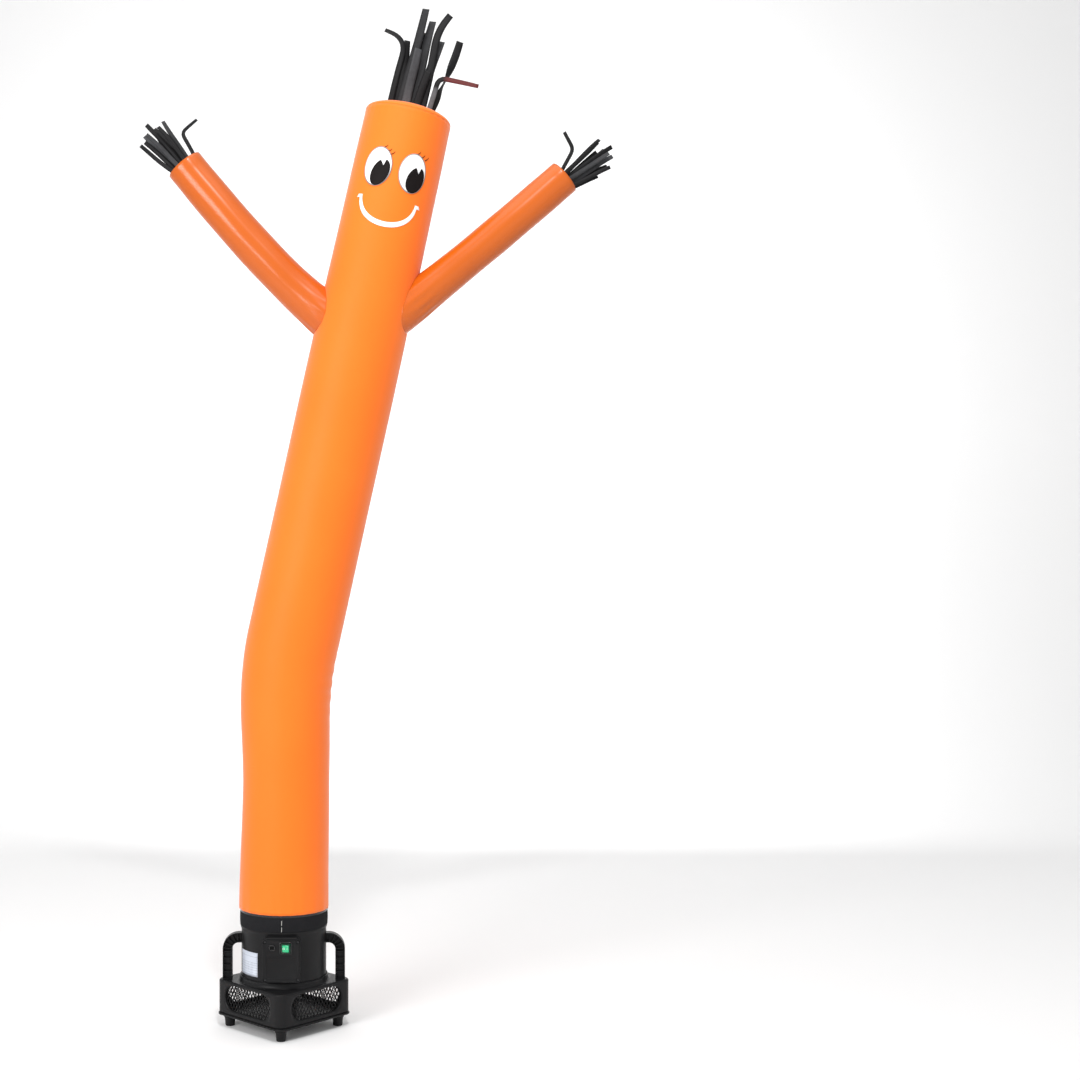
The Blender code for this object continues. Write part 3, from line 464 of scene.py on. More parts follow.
@dataclass(frozen=True)
class LabelFilm:
    """Pale silver film with thin generic rules, its UV map in metres from one corner."""

    name: str = "blank_label_film"
    margins: tuple[float, float] = (0.0045, 0.0703)
    heads: tuple[float, ...] = (0.0095, 0.0500)
    rows: tuple[float, ...] = (0.0165, 0.0225, 0.0285, 0.0345)
    columns: tuple[float, ...] = (0.020, 0.038, 0.054)
    half: float = 0.00022
    fade: float = 0.00008
    relief: float = 0.00005

    def rule(self, along: Value, places: Sequence[float]) -> Value:
        """Return 1 on a rule at each of these places."""
        lines = [(along - place).size().step(self.half + self.fade, self.half) for place in places]
        return functools.reduce(Value.larger, lines)

    def make(self) -> bpy.types.Material:
        """Make the material.

        Returns:
            The material.
        """
        p = Painter(self.name)
        where = p.place()
        u, v = p.uv()
        low, high = self.heads[0], self.rows[-1]
        table = v.step(low, low + 0.0001) * v.step(high + 0.0001, high)
        rules = self.rule(v, self.heads + self.rows).larger(self.rule(u, self.columns) * table)
        rules = rules.larger(self.rule(u, self.margins))
        tint = p.noise(where, 25.0, 2.0)
        film = p.mix(tint, colour(214, 219, 228), colour(176, 184, 199))
        p.feed("Base Color", p.mix(rules * 0.8, film, colour(70, 74, 82)))
        p.feed("Roughness", tint * 0.1 + 0.28)
        p.feed("Metallic", 0.15)
        p.relief(tint, self.relief, 0.2)
        return p.material


@dataclass(frozen=True)
class Studio:
    """Plain pale surface of the floor and backdrop."""

    name: str = "pale_floor"

    def make(self) -> bpy.types.Material:
        """Make the material.

        Returns:
            The material.
        """
        p = Painter(self.name)
        p.feed("Base Color", (0.93, 0.93, 0.93, 1.0))
        p.feed("Roughness", 0.9)
        p.feed("Specular IOR Level", 0.1)
        return p.material


# ---- mesh writing ----


class Shell:
    """Gathers grids of points into one mesh, with UVs in metres and numbers for each point."""

    def __init__(self) -> None:
        """Start empty."""
        self.points: list[Array] = []
        self.quads: list[Array] = []
        self.corner_uvs: list[Array] = []
        self.tones: list[Array] = []
        self.warms: list[Array] = []
        self.count = 0

    def grid(
        self,
        points: Array,
        close_u: bool = False,
        close_v: bool = False,
        uv: Array | None = None,
        tone: float | Array = 0.0,
        warm: float | Array = 0.0,
        keep: Array | None = None,
    ) -> "Shell":
        """Add a grid of quads.

        Args:
            points: Rows by columns by 3. The face's normal is row direction cross column direction.
            close_u: Join the last row to the first.
            close_v: Join the last column to the first.
            uv: Rows by columns by 2, with one more row or column where the grid is closed.
            tone: Number of each point, or one for all.
            warm: A second number of each point, or one for all.
            keep: True for the cells that stay, or None for all.

        Returns:
            This shell.
        """
        rows, columns = points.shape[:2]
        index = np.arange(rows * columns).reshape(rows, columns)
        if close_u:
            index = np.vstack([index, index[:1]])
        if close_v:
            index = np.hstack([index, index[:, :1]])
        quads = self.corners(index)
        if uv is None:
            uv = np.zeros(index.shape + (2,))
        corner_uv = np.stack([self.corners(uv[..., 0]), self.corners(uv[..., 1])], axis=-1)
        if keep is not None:
            quads, corner_uv = quads[keep.ravel()], corner_uv[keep.ravel()]
        self.points.append(points.reshape(-1, 3))
        self.quads.append(quads + self.count)
        self.corner_uvs.append(corner_uv)
        self.tones.append(np.broadcast_to(tone, (rows, columns)).ravel())
        self.warms.append(np.broadcast_to(warm, (rows, columns)).ravel())
        self.count += rows * columns
        return self

    @staticmethod
    def corners(table: Array) -> Array:
        """Return the four corner entries of each cell of a table, counterclockwise."""
        cells = [table[:-1, :-1], table[1:, :-1], table[1:, 1:], table[:-1, 1:]]
        return np.stack(cells, axis=-1).reshape(-1, 4)

    def build(self, name: str, offset: tuple[float, float, float] = (BLOWER_X, 0.0, 0.0)) -> bpy.types.Object:
        """Make the mesh object, moved to its place, welded and smooth shaded.

        Args:
            name: The piece's name.
            offset: Where the blower's axis stands in the part's frame.

        Returns:
            The object.
        """
        points = np.concatenate(self.points) + np.array(offset)
        quads = np.concatenate(self.quads)
        mesh = bpy.data.meshes.new(name)
        mesh.vertices.add(len(points))
        mesh.vertices.foreach_set("co", points.astype(np.float32).ravel())
        mesh.loops.add(quads.size)
        mesh.loops.foreach_set("vertex_index", quads.astype(np.int32).ravel())
        mesh.polygons.add(len(quads))
        mesh.polygons.foreach_set("loop_start", np.arange(0, quads.size, 4, dtype=np.int32))
        layer = mesh.uv_layers.new(name="UVMap")
        layer.data.foreach_set("uv", np.concatenate(self.corner_uvs).astype(np.float32).ravel())
        for title, numbers in (("tone", self.tones), ("warm", self.warms)):
            attribute = mesh.attributes.new(title, "FLOAT", "POINT")
            attribute.data.foreach_set("value", np.concatenate(numbers).astype(np.float32))
        mesh.update(calc_edges=True)
        mesh.validate()
        self.weld(mesh)
        return placed(name, mesh)

    @staticmethod
    def weld(mesh: bpy.types.Mesh) -> None:
        """Merge doubled points, so that poles and seams are closed.

        Args:
            mesh: The mesh to weld, smooth shaded afterwards except at sharp edges.
        """
        work = bmesh.new()
        work.from_mesh(mesh)
        bmesh.ops.remove_doubles(work, verts=work.verts, dist=WELD)
        loose = [vertex for vertex in work.verts if not vertex.link_faces]
        bmesh.ops.delete(work, geom=loose, context="VERTS")
        work.to_mesh(mesh)
        work.free()
        mesh.shade_smooth()
        mesh.set_sharp_from_angle(angle=SHARP)


def placed(name: str, data: Any) -> bpy.types.Object:
    """Put a new object in the scene.

    Args:
        name: Its name.
        data: Its mesh, camera or light.

    Returns:
        The object.
    """
    item = bpy.data.objects.new(name, data)
    bpy.context.scene.collection.objects.link(item)
    return item


def lathe(profile: Sequence[tuple[float, float]] | Array, steps: int = 128) -> tuple[Array, Array]:
    """Turn a profile about Z: x = r cos t, y = r sin t, z = height.

    Args:
        profile: Radius and height, running down the outer side.
        steps: Steps round.

    Returns:
        The grid, whose columns close, and its UVs in metres.
    """
    line = np.asarray(profile, float)
    turn = np.arange(steps) * math.tau / steps
    radius, height = line[:, :1], line[:, 1:]
    points = np.stack([radius * np.cos(turn), radius * np.sin(turn), height + 0 * turn], axis=-1)
    run = np.concatenate([[0.0], np.cumsum(np.hypot(*np.diff(line, axis=0).T))])
    round_uv = np.arange(steps + 1) * math.tau / steps * line[:, 0].max()
    uv = np.stack(np.broadcast_arrays(round_uv[None, :], -run[:, None]), axis=-1)
    return points, uv


def rounded_profile(corners: Sequence[tuple[float, float, float]], steps: int = 4) -> Array:
    """Round the corners of a polyline: each corner becomes an arc tangent to both its sides.

    The arc is drawn as a quadratic blend of its two tangent points and the corner.

    Args:
        corners: Place on two axes, and how far from the corner its arc starts.
        steps: Steps of each arc.

    Returns:
        The rounded line's points.
    """
    rows = np.asarray(corners, float)
    places = rows[:, :2]
    parts = [places[:1]]
    share = np.linspace(0.0, 1.0, steps + 1)[:, None]
    for before, corner, after, reach in zip(places[:-2], places[1:-1], places[2:], rows[1:-1, 2]):
        back = before - corner
        ahead = after - corner
        start = corner + back / max(np.linalg.norm(back), 1e-9) * reach
        stop = corner + ahead / max(np.linalg.norm(ahead), 1e-9) * reach
        if reach <= 0:
            parts.append(corner[None, :])
        else:
            parts.append(start * (1 - share) ** 2 + 2 * corner * share * (1 - share) + stop * share ** 2)
    parts.append(places[-1:])
    return np.concatenate(parts)


def rectangle(width: float, height: float, corner: float, steps: int = 6) -> Array:
    """Return a rounded rectangle about the origin, counterclockwise.

    Each corner is a quarter circle: centre plus corner times the cosine and sine of its angle.

    Args:
        width: Size on the first axis.
        height: Size on the second axis.
        corner: Radius of its corners.
        steps: Steps of each corner.

    Returns:
        Its points.
    """
    angles = np.linspace(0.0, math.pi / 2, steps + 1)
    parts = []
    for index, (side_x, side_y) in enumerate(((1, 1), (-1, 1), (-1, -1), (1, -1))):
        turn = angles + index * math.pi / 2
        centre = np.array([side_x * (width / 2 - corner), side_y * (height / 2 - corner)])
        parts.append(centre + corner * np.stack([np.cos(turn), np.sin(turn)], axis=-1))
    return np.concatenate(parts)


def shrunk(outline: Array, inset: float) -> Array:
    """Move each point of a closed outline inward along the mean of its two sides' normals.

    Args:
        outline: Counterclockwise points.
        inset: How far each moves.

    Returns:
        The moved points.
    """
    ahead = np.roll(outline, -1, axis=0) - outline
    back = outline - np.roll(outline, 1, axis=0)
    along = ahead / np.linalg.norm(ahead, axis=1, keepdims=True)
    along += back / np.linalg.norm(back, axis=1, keepdims=True)
    along /= np.linalg.norm(along, axis=1, keepdims=True)
    return outline + inset * np.stack([-along[:, 1], along[:, 0]], axis=-1)


def level(outline: Array, height: float | Array) -> Array:
    """Put a flat outline at a height."""
    return np.column_stack([outline, np.full(len(outline), height)])


def pole(outline: Array, x: float, y: float, height: float) -> Array:
    """Return as many copies of one point as an outline has points."""
    return np.tile([x, y, height], (len(outline), 1))


def slab(outline: Array, low: float, high: float, edge: float, steps: int) -> Array:
    """Return a solid slab over a convex outline: rings that round its edges and close at its middle.

    Each ring is the outline shrunk by edge (1 - sin a), at a height edge (1 - cos a) from the face.

    Args:
        outline: Counterclockwise points.
        low: Height of its lower face.
        high: Height of its upper face.
        edge: Radius of its rounded edges.
        steps: Steps of each edge.

    Returns:
        The grid, whose columns close.
    """
    x, y = outline.mean(axis=0)
    turns = np.linspace(0.0, math.pi / 2, steps + 1)
    upper = [level(shrunk(outline, edge * (1 - math.sin(a))), high - edge * (1 - math.cos(a))) for a in turns]
    lower = [level(shrunk(outline, edge * (1 - math.sin(a))), low + edge * (1 - math.cos(a))) for a in turns]
    return np.stack([pole(outline, x, y, high), *upper, *lower[::-1], pole(outline, x, y, low)])


def hoop(path: Array, section: Array) -> Array:
    """Carry a closed section round a closed flat path: path point plus section times its normal.

    Args:
        path: Points in a plane, counterclockwise.
        section: Outward and upward offsets of each point of the section, clockwise.

    Returns:
        The grid of section by path, closed both ways.
    """
    ahead = np.roll(path, -1, axis=0) - np.roll(path, 1, axis=0)
    ahead /= np.linalg.norm(ahead, axis=1, keepdims=True)
    normal = np.stack([ahead[:, 1], -ahead[:, 0]], axis=-1)
    flat = path[None, :, :] + section[:, None, :1] * normal[None, :, :]
    high = np.broadcast_to(section[:, None, 1:], flat.shape[:2] + (1,))
    return np.concatenate([flat, high], axis=-1)


def to_front(points: Array, x: float = 0.0, out: float = 0.0, z: float = 0.0) -> Array:
    """Stand a flat shape up: its x stays x, its y becomes z and its height looks toward -Y."""
    return np.stack([points[..., 0] + x, -points[..., 2] - out, points[..., 1] + z], axis=-1)


def turned(points: Array, angle: float) -> Array:
    """Turn points about Z: x cos a - y sin a, x sin a + y cos a.

    Args:
        points: The points.
        angle: The angle in radians.

    Returns:
        The turned points.
    """
    cos, sin = math.cos(angle), math.sin(angle)
    x, y = points[..., 0], points[..., 1]
    return np.stack([x * cos - y * sin, x * sin + y * cos, points[..., 2]], axis=-1)


def box_grid(centre: Array, first: Array, second: Array, third: Array) -> Array:
    """Return a closed box as a grid: rings of four corners and a pole at each end.

    Args:
        centre: Its middle.
        first: Half size along its length, from pole to pole.
        second: Half size across.
        third: Half size through; first, second and third are right-handed.

    Returns:
        The grid, whose columns close.
    """
    signs = ((-1, -1), (-1, 1), (1, 1), (1, -1))
    ring = np.stack([a * second + b * third for a, b in signs])
    end = np.zeros((4, 3))
    return centre + np.stack([end - first, ring - first, ring + first, end + first])


# ---- finishing a piece ----


def solidify(piece: bpy.types.Object, thickness: float, offset: float = -1.0) -> None:
    """Give a sheet its thickness.

    Args:
        piece: The sheet.
        thickness: How thick it gets.
        offset: -1 grows it inward, 0 both ways.
    """
    modifier = piece.modifiers.new("thickness", "SOLIDIFY")
    modifier.thickness = thickness
    modifier.offset = offset
    modifier.use_even_offset = True


def dress(
    piece: bpy.types.Object,
    material: bpy.types.Material,
    nodes: Sequence[str] = (),
    body: str = BODY,
) -> bpy.types.Object:
    """Give a piece its finish, and put it in place of CAD nodes.

    Args:
        piece: The new piece.
        material: Its finish.
        nodes: The CAD nodes that it stands for.
        body: The CAD body that it rides on.

    Returns:
        The piece.
    """
    piece.data.materials.clear()
    piece.data.materials.append(material)
    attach(piece, body)
    if nodes:
        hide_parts(*nodes)
    LOG.info("piece %s: %d faces", piece.name, len(piece.data.polygons))
    return piece


def shaped(
    name: str,
    points: Array,
    material: bpy.types.Material,
    nodes: Sequence[str] = (),
    *,
    uv: Array | None = None,
    close_u: bool = False,
    close_v: bool = True,
    sheet: float = 0.0,
    body: str = BODY,
) -> bpy.types.Object:
    """Build and dress a piece that is one grid.

    Args:
        name: The piece's name.
        points: The grid.
        material: Its finish.
        nodes: The CAD nodes that it stands for.
        uv: The grid's UVs in metres.
        close_u: Join the last row to the first.
        close_v: Join the last column to the first.
        sheet: Thickness of a sheet, or 0 for a grid that is a closed solid.
        body: The CAD body that it rides on.

    Returns:
        The piece.
    """
    piece = Shell().grid(points, close_u, close_v, uv).build(name)
    if sheet:
        solidify(piece, sheet)
    return dress(piece, material, nodes, body)


def repaint(frame: dict[str, Any], node: str, material: bpy.types.Material) -> None:
    """Give a kept CAD node a finer material in each of its slots.

    Args:
        frame: The loaded frame.
        node: The node's name.
        material: Its new finish.
    """
    item = frame["nodes"][node]
    for place in item.material_slots:
        place.material = material
    if not item.material_slots:
        item.data.materials.append(material)
    LOG.info("kept node %s", node)


@dataclass(frozen=True)
class Finishes:
    """Every material of the object, made once."""

    body: bpy.types.Material
    arm: bpy.types.Material
    ribbon: bpy.types.Material
    white: bpy.types.Material
    eye: bpy.types.Material
    dark: bpy.types.Material
    lash: bpy.types.Material
    plastic: bpy.types.Material
    # painted shade of the gland socket's floor
    deep: bpy.types.Material
    smooth: bpy.types.Material
    hook: bpy.types.Material
    thread: bpy.types.Material
    metal: bpy.types.Material
    cover: bpy.types.Material
    rocker: bpy.types.Material
    label: bpy.types.Material

    @classmethod
    def make(cls) -> "Finishes":
        """Make all the materials.

        Returns:
            The finishes.
        """
        white, grey_white = colour(250, 250, 250), colour(238, 238, 240)
        return cls(
            body=Nylon("orange_nylon", colour(252, 121, 34), colour(246, 111, 26)).make(),
            arm=Nylon(
                "deep_orange_nylon", colour(197, 92, 6), colour(188, 83, 4),
                roughness=0.55, sheen=0.0, coat=0.8, gloss=0.12,
            ).make(),
            ribbon=Ribbon().make(),
            white=Patch("white_cloth", white, grey_white).make(),
            eye=Patch("eye_cloth", white, grey_white, edge=colour(120, 110, 105)).make(),
            dark=Patch("pupil_cloth", colour(24, 18, 17), colour(15, 12, 13)).make(),
            lash=Patch("lash_thread", colour(96, 52, 22), colour(70, 36, 14)).make(),
            plastic=Plastic("black_moulded_plastic", colour(21, 21, 22), colour(38, 38, 39)).make(),
            # painted shade: near-black rough plastic that darkens the gland socket's floor
            deep=Plastic("socket_painted_shade", colour(7, 7, 7), colour(11, 11, 11), roughness=0.7).make(),
            smooth=Plastic(
                "black_smooth_plastic", colour(18, 18, 19), colour(36, 36, 37),
                roughness=0.24, grain=500.0, depth=0.00004, coat=0.2, gloss=0.35,
            ).make(),
            hook=HookTape().make(),
            thread=Patch("white_thread", colour(226, 226, 222), colour(196, 196, 192)).make(),
            metal=Metal().make(),
            cover=Plastic(
                "dark_green_cover", colour(3, 52, 34), colour(8, 72, 48),
                roughness=0.2, grain=300.0, depth=0.00002, coat=0.6, gloss=0.5,
            ).make(),
            rocker=Plastic(
                "green_rocker", colour(24, 172, 112), colour(46, 196, 136),
                roughness=0.26, grain=300.0, depth=0.00003, coat=0.4, gloss=0.5,
            ).make(),
            label=LabelFilm().make(),
        )


# ---- the cloth figure ----


def smoothed(table: Sequence[tuple[float, float]], at: Array, reach: float) -> Array:
    """Read a table's straight runs, averaged over seven places within reach of each one asked for.

    Args:
        table: Place and radius of each row.
        at: The places asked for.
        reach: How far the average goes each way.

    Returns:
        The radii.
    """
    rows = np.array(table)
    near = [np.interp(at + step, rows[:, 0], rows[:, 1]) for step in np.linspace(-reach, reach, 7)]
    return np.mean(near, axis=0)


def together(*parts: Array) -> Array:
    """Put coordinates that may be rows, columns or numbers side by side as one grid of points."""
    return np.stack(np.broadcast_arrays(*parts), axis=-1)


@dataclass(frozen=True)
class Figure:
    """The cloth tube: upright at its hem, then bent over, then straight and leaning."""

    hem_z: float = 0.3085
    bend_z: float = 0.894
    bend_reach: float = 0.110
    lean: float = math.radians(12.45)
    length: float = 2.083
    sway: float = 0.006
    sway_length: float = 0.70
    cloth: float = 0.0009
    crease_at: float = 0.59
    crease_pitch: float = 0.041
    probe: float = 1.4
    radii: tuple[tuple[float, float], ...] = (
        (0.000, 0.1156),
        (0.016, 0.1162),
        (0.120, 0.1148),
        (0.330, 0.1122),
        (0.540, 0.1166),
        (0.690, 0.1194),
        (1.334, 0.1194),
        (1.550, 0.1182),
        (1.706, 0.1164),
        (1.973, 0.1142),
        (2.083, 0.1120),
    )

    def axis(self, s: Array) -> tuple[Array, Array, Array]:
        """Return x, z and tilt of the middle line at a length s above the hem.

        Straight up, an arc of radius reach / tan(lean / 2), then straight along the lean, plus a
        small sway of sine squared in the lower part.

        Args:
            s: Lengths above the hem.

        Returns:
            The three, each shaped as s.
        """
        start = self.bend_z - self.hem_z - self.bend_reach
        bend = self.bend_reach / math.tan(self.lean / 2)
        tilt = np.clip((s - start) / bend, 0.0, self.lean)
        beyond = np.maximum(s - start - bend * self.lean, 0.0)
        phase = np.pi * np.minimum(s / self.sway_length, 1.0)
        x = bend * (1 - np.cos(tilt)) + beyond * math.sin(self.lean) + self.sway * np.sin(phase) ** 2
        z = self.hem_z + np.minimum(s, start) + bend * np.sin(tilt) + beyond * math.cos(self.lean)
        lean = tilt + self.sway * np.pi / self.sway_length * np.sin(2 * phase)
        return x, z, lean

    def radius(self, s: Array) -> Array:
        """Return the radius at s."""
        return smoothed(self.radii, s, 0.025)

    def folds(self, turn: Array, s: Array) -> Array:
        """Return how far the cloth stands in or out of the plain tube.

        Gathers at the hem and under the head seam, soft creases inside the bend, and long slow
        waves, each a sine with a bell-shaped or decaying size.

        Args:
            turn: Angle from the front, growing toward +X.
            s: Length above the hem.

        Returns:
            The step outward.
        """
        hem = 0.0007 * np.exp(-s / 0.045) * np.cos(23 * turn + 1.3 * np.sin(3 * turn))
        rim = 0.0005 * np.exp(-(self.length - s) / 0.022) * np.cos(38 * turn + np.sin(5 * turn))
        past = s - self.crease_at
        inside = np.maximum(np.sin(turn), 0.0) ** 3 * np.exp(-((past / 0.085) ** 2))
        crease = 0.0011 * inside * np.cos(math.tau * past / self.crease_pitch + 1.1 * np.cos(turn))
        slow = 0.0006 * np.sin(2 * turn + 3.1 * s) * np.sin(5.3 * s + 0.4)
        return hem + rim + crease + slow

    def surface(self, turn: Array, s: Array, lift: float = 0.0) -> Array:
        """Return points on the cloth: the middle line plus radius along the turned, tilted arm.

        Args:
            turn: Angle from the front, growing toward +X.
            s: Length above the hem.
            lift: Height over the cloth.

        Returns:
            The points.
        """
        turn, s = np.broadcast_arrays(turn, s)
        x, z, tilt = self.axis(s)
        reach = self.radius(s) + self.folds(turn, s) + lift
        side = reach * np.sin(turn)
        return np.stack([x + side * np.cos(tilt), -reach * np.cos(turn), z - side * np.sin(tilt)], axis=-1)

    def beyond(self, points: Array) -> Array:
        """Return how far points lie outside the leaning part's surface.

        The distance from its straight middle line, less the radius there.

        Args:
            points: The points.

        Returns:
            The distances, negative inside.
        """
        x0, z0, _tilt = self.axis(np.array(self.probe))
        along = np.array([math.sin(self.lean), 0.0, math.cos(self.lean)])
        step = points - np.array([float(x0), 0.0, float(z0)])
        run = step @ along
        away = np.linalg.norm(step - run[..., None] * along, axis=-1)
        return away - self.radius(self.probe + run)


@dataclass(frozen=True)
class Arm:
    """A hollow arm along a quadratic curve, from its open hand to the seam at the body."""

    name: str
    depth: float
    hand: tuple[float, float]
    middle: tuple[float, float]
    root: tuple[float, float]
    radii: tuple[tuple[float, float], ...]

    def centre(self, t: Array) -> tuple[Array, Array]:
        """Return the curve's points and unit tangents: the quadratic blend of three points.

        Args:
            t: Shares of the way from the hand to the root.

        Returns:
            The points and the tangents.
        """
        t = np.asarray(t, float)[..., None]
        ends = [np.array([x, self.depth, z]) for x, z in (self.hand, self.middle, self.root)]
        place = (1 - t) ** 2 * ends[0] + 2 * t * (1 - t) * ends[1] + t ** 2 * ends[2]
        ahead = 2 * (1 - t) * (ends[1] - ends[0]) + 2 * t * (ends[2] - ends[1])
        return place, ahead / np.linalg.norm(ahead, axis=-1, keepdims=True)

    def radius(self, t: Array) -> Array:
        """Return the radius at a share of the way."""
        return smoothed(self.radii, t, 0.06)

    def folds(self, turn: Array, t: Array) -> Array:
        """Return small lengthwise creases that fade from the seam, and a hem step at the hand.

        Sines round the arm with a bell-shaped size, a slow wave, and a logistic step.

        Args:
            turn: Angle round the curve.
            t: Share of the way from the hand.

        Returns:
            The step outward.
        """
        seam = 0.0009 * np.exp(-((0.86 - t) / 0.07) ** 2) * np.cos(13 * turn + 1.7)
        slow = 0.0006 * np.sin(2 * turn + 9 * t) * np.sin(14 * t + 0.6)
        hem = 0.0005 / (1 + np.exp((t - 0.030) / 0.0025))
        return seam + slow + hem

    def surface(self, turn: Array, t: Array) -> Array:
        """Return points round the curve: centre + radius (cos a normal + sin a side).

        Args:
            turn: Angle round the curve.
            t: Share of the way from the hand.

        Returns:
            The points.
        """
        turn, t = np.broadcast_arrays(turn, t)
        place, ahead = self.centre(t)
        normal = np.stack([-ahead[..., 2], 0 * ahead[..., 1], ahead[..., 0]], axis=-1)
        side = np.cross(normal, ahead)
        reach = (self.radius(t) + self.folds(turn, t))[..., None]
        return place + reach * (np.cos(turn)[..., None] * normal + np.sin(turn)[..., None] * side)

    def seam(self, figure: Figure, turn: Array, sink: float) -> Array:
        """Return, for each turn, the share of the way at which the arm meets the body.

        The arm is sampled finely, and the first sample that lies inside the body by sink is taken.

        Args:
            figure: The body.
            turn: Angles round the arm.
            sink: How far inside the body the arm ends.

        Returns:
            The shares.
        """
        t = np.linspace(0.3, 1.3, 1601)
        inside = figure.beyond(self.surface(turn[:, None], t[None, :])) < -sink
        return t[np.argmax(inside, axis=1)]


ARM_SHARES = (0.00, 0.15, 0.45, 0.65, 0.80, 0.90, 1.00)
LEFT_RADII = (0.0488, 0.0505, 0.0517, 0.0525, 0.0565, 0.0595, 0.0600)
RIGHT_RADII = (0.0446, 0.0460, 0.0465, 0.0470, 0.0500, 0.0520, 0.0530)
ARMS = (
    Arm(
        "arm_left", -0.008, (-0.2574, 2.2340), (0.0032, 1.9120), (0.1446, 1.8182),
        tuple(zip(ARM_SHARES, LEFT_RADII)),
    ),
    Arm(
        "arm_right", -0.020, (0.7257, 2.1992), (0.4704, 1.9775), (0.2961, 1.8444),
        tuple(zip(ARM_SHARES, RIGHT_RADII)),
    ),
)


@dataclass(frozen=True)
class Head:
    """The domed panel that closes the tube, and the frame that the hair stands on."""

    figure: Figure
    rim: float = 0.1120
    rise: float = 0.024
    power: float = 2.5
    puckers: int = 38

    def height(self, distance: Array) -> Array:
        """Return the dome's height: rise times the root of 1 - (distance / rim) to the power."""
        return self.rise * np.sqrt(1 - np.minimum(distance / self.rim, 1.0) ** self.power)

    def place(self, x: Array, y: Array, up: Array) -> Array:
        """Carry points of the head's own frame to the leaning tube's upper end.

        Args:
            x: Across.
            y: Depth.
            up: Height over the tube's end.

        Returns:
            The points.
        """
        x0, z0, _tilt = self.figure.axis(np.array(self.figure.length))
        cos, sin = math.cos(self.figure.lean), math.sin(self.figure.lean)
        return together(x0 + x * cos + up * sin, y, z0 - x * sin + up * cos)

    def panel(self, rings: int = 26, steps: int = 96) -> tuple[Array, Array]:
        """Return the dome's grid: rings of growing radius at the dome's height, with puckers.

        Args:
            rings: Rings from the middle to the rim, closer together near the rim.
            steps: Steps round.

        Returns:
            The points and the UVs.
        """
        share = 1 - np.linspace(1.0, 0.0, rings)[:, None] ** 2
        turn = np.arange(steps) * math.tau / steps
        radius = self.rim * share + 0 * turn
        pucker = 0.0006 * np.exp(-(1 - share) / 0.07) * np.cos(self.puckers * turn)
        up = self.height(radius) + pucker * (1 - share ** 12)
        points = self.place(radius * np.sin(turn), -radius * np.cos(turn), up + 0.0003)
        full = np.arange(steps + 1) * math.tau / steps
        flat = self.rim * share
        return points, np.stack([flat * np.sin(full), flat * np.cos(full)], axis=-1)


LAYER_PITCH = 0.0072


@dataclass(frozen=True)
class Strand:
    """One ribbon: a path whose heading turns by bend between two shares of its length."""

    root: float
    layer: float
    heading: float
    bend: float
    length: float
    width: float
    tone: float = 0.0
    warm: float = 0.0
    pinch: float = 0.0
    span: tuple[float, float] = (0.3, 1.0)

    def grid(self, base: Array, twist: float, steps: int = 22) -> tuple[Array, Array, Array]:
        """Return the ribbon's points, UVs and share of its length at each row.

        The path sums unit steps along its heading; each row spans the width along the path's
        normal, turned a little about the path and cupped as a parabola. A pinch turns the ribbon
        edge on a little below its middle, as a bell-shaped extra twist.

        Args:
            base: Where the ribbon starts.
            twist: Turn about the path at the tip, in radians.
            steps: Rows along the ribbon.

        Returns:
            The points, the UVs and the shares.
        """
        share = np.linspace(0.0, 1.0, steps * 4 + 1)
        start, stop = self.span
        eased = np.clip((share - start) / (stop - start), 0.0, 1.0)
        heading = np.radians(self.heading + self.bend * eased * eased * (3 - 2 * eased))
        heading += 0.03 * np.sin(7 * share + 40 * self.root + self.layer)
        step = self.length / (len(share) - 1)
        path_x = np.concatenate([[0.0], np.cumsum(np.sin(heading[:-1]) * step)])
        path_z = np.concatenate([[0.0], np.cumsum(np.cos(heading[:-1]) * step)])
        pick = slice(None, None, 4)
        share, heading, path_x, path_z = share[pick], heading[pick], path_x[pick], path_z[pick]
        across = np.linspace(-1.0, 1.0, 5)
        roll = twist * share ** 1.5 + self.pinch * np.exp(-(((share - 0.42) / 0.20) ** 2))
        half = self.width / 2 * (1 - 0.12 * share ** 6)
        side = half[:, None] * across * np.cos(roll)[:, None]
        deep = half[:, None] * across * np.sin(roll)[:, None]
        deep = deep + 0.0014 * (across ** 2 - 0.5) * np.sin(math.pi * share)[:, None]
        bow = self.layer * 0.007 * share ** 2 + 0.0015 * np.sin(5 * share + 60 * self.root)
        x = base[0] + path_x[:, None] + side * np.cos(heading)[:, None]
        z = base[2] + path_z[:, None] - side * np.sin(heading)[:, None]
        y = base[1] + self.layer * LAYER_PITCH + bow[:, None] + deep
        run = share * self.length
        return together(x, y, z), together(half[:, None] * across, run[:, None]), share


HAIR = (
    Strand(-0.014, -1.5, 13.0, 1.0, 0.150, 0.0220, 0.55, span=(0.2, 1.0)),
    Strand(0.013, -1.5, 17.0, 8.0, 0.100, 0.0200),
    Strand(0.048, -1.5, 16.0, 88.0, 0.190, 0.0135, 1.0, 1.0, span=(0.36, 0.56)),
    Strand(-0.055, -0.5, 15.0, -82.0, 0.222, 0.0150, pinch=-0.3, span=(0.55, 0.95)),
    Strand(-0.026, -0.5, 14.5, 1.0, 0.260, 0.0220, 0.12, span=(0.2, 1.0)),
    Strand(0.030, -0.5, 11.5, 27.0, 0.262, 0.0200, span=(0.60, 1.0)),
    Strand(-0.038, 0.5, 12.0, -6.0, 0.175, 0.0190),
    Strand(0.004, 0.5, 12.5, 2.0, 0.236, 0.0230, 0.2, span=(0.20, 1.0)),
    Strand(0.050, 0.5, 27.0, -11.0, 0.206, 0.0215, pinch=1.35),
    Strand(-0.012, 1.5, 11.0, 5.0, 0.208, 0.0220, span=(0.20, 1.0)),
    Strand(0.024, 1.5, 15.0, 6.0, 0.196, 0.0240, 0.3, span=(0.20, 1.0)),
)
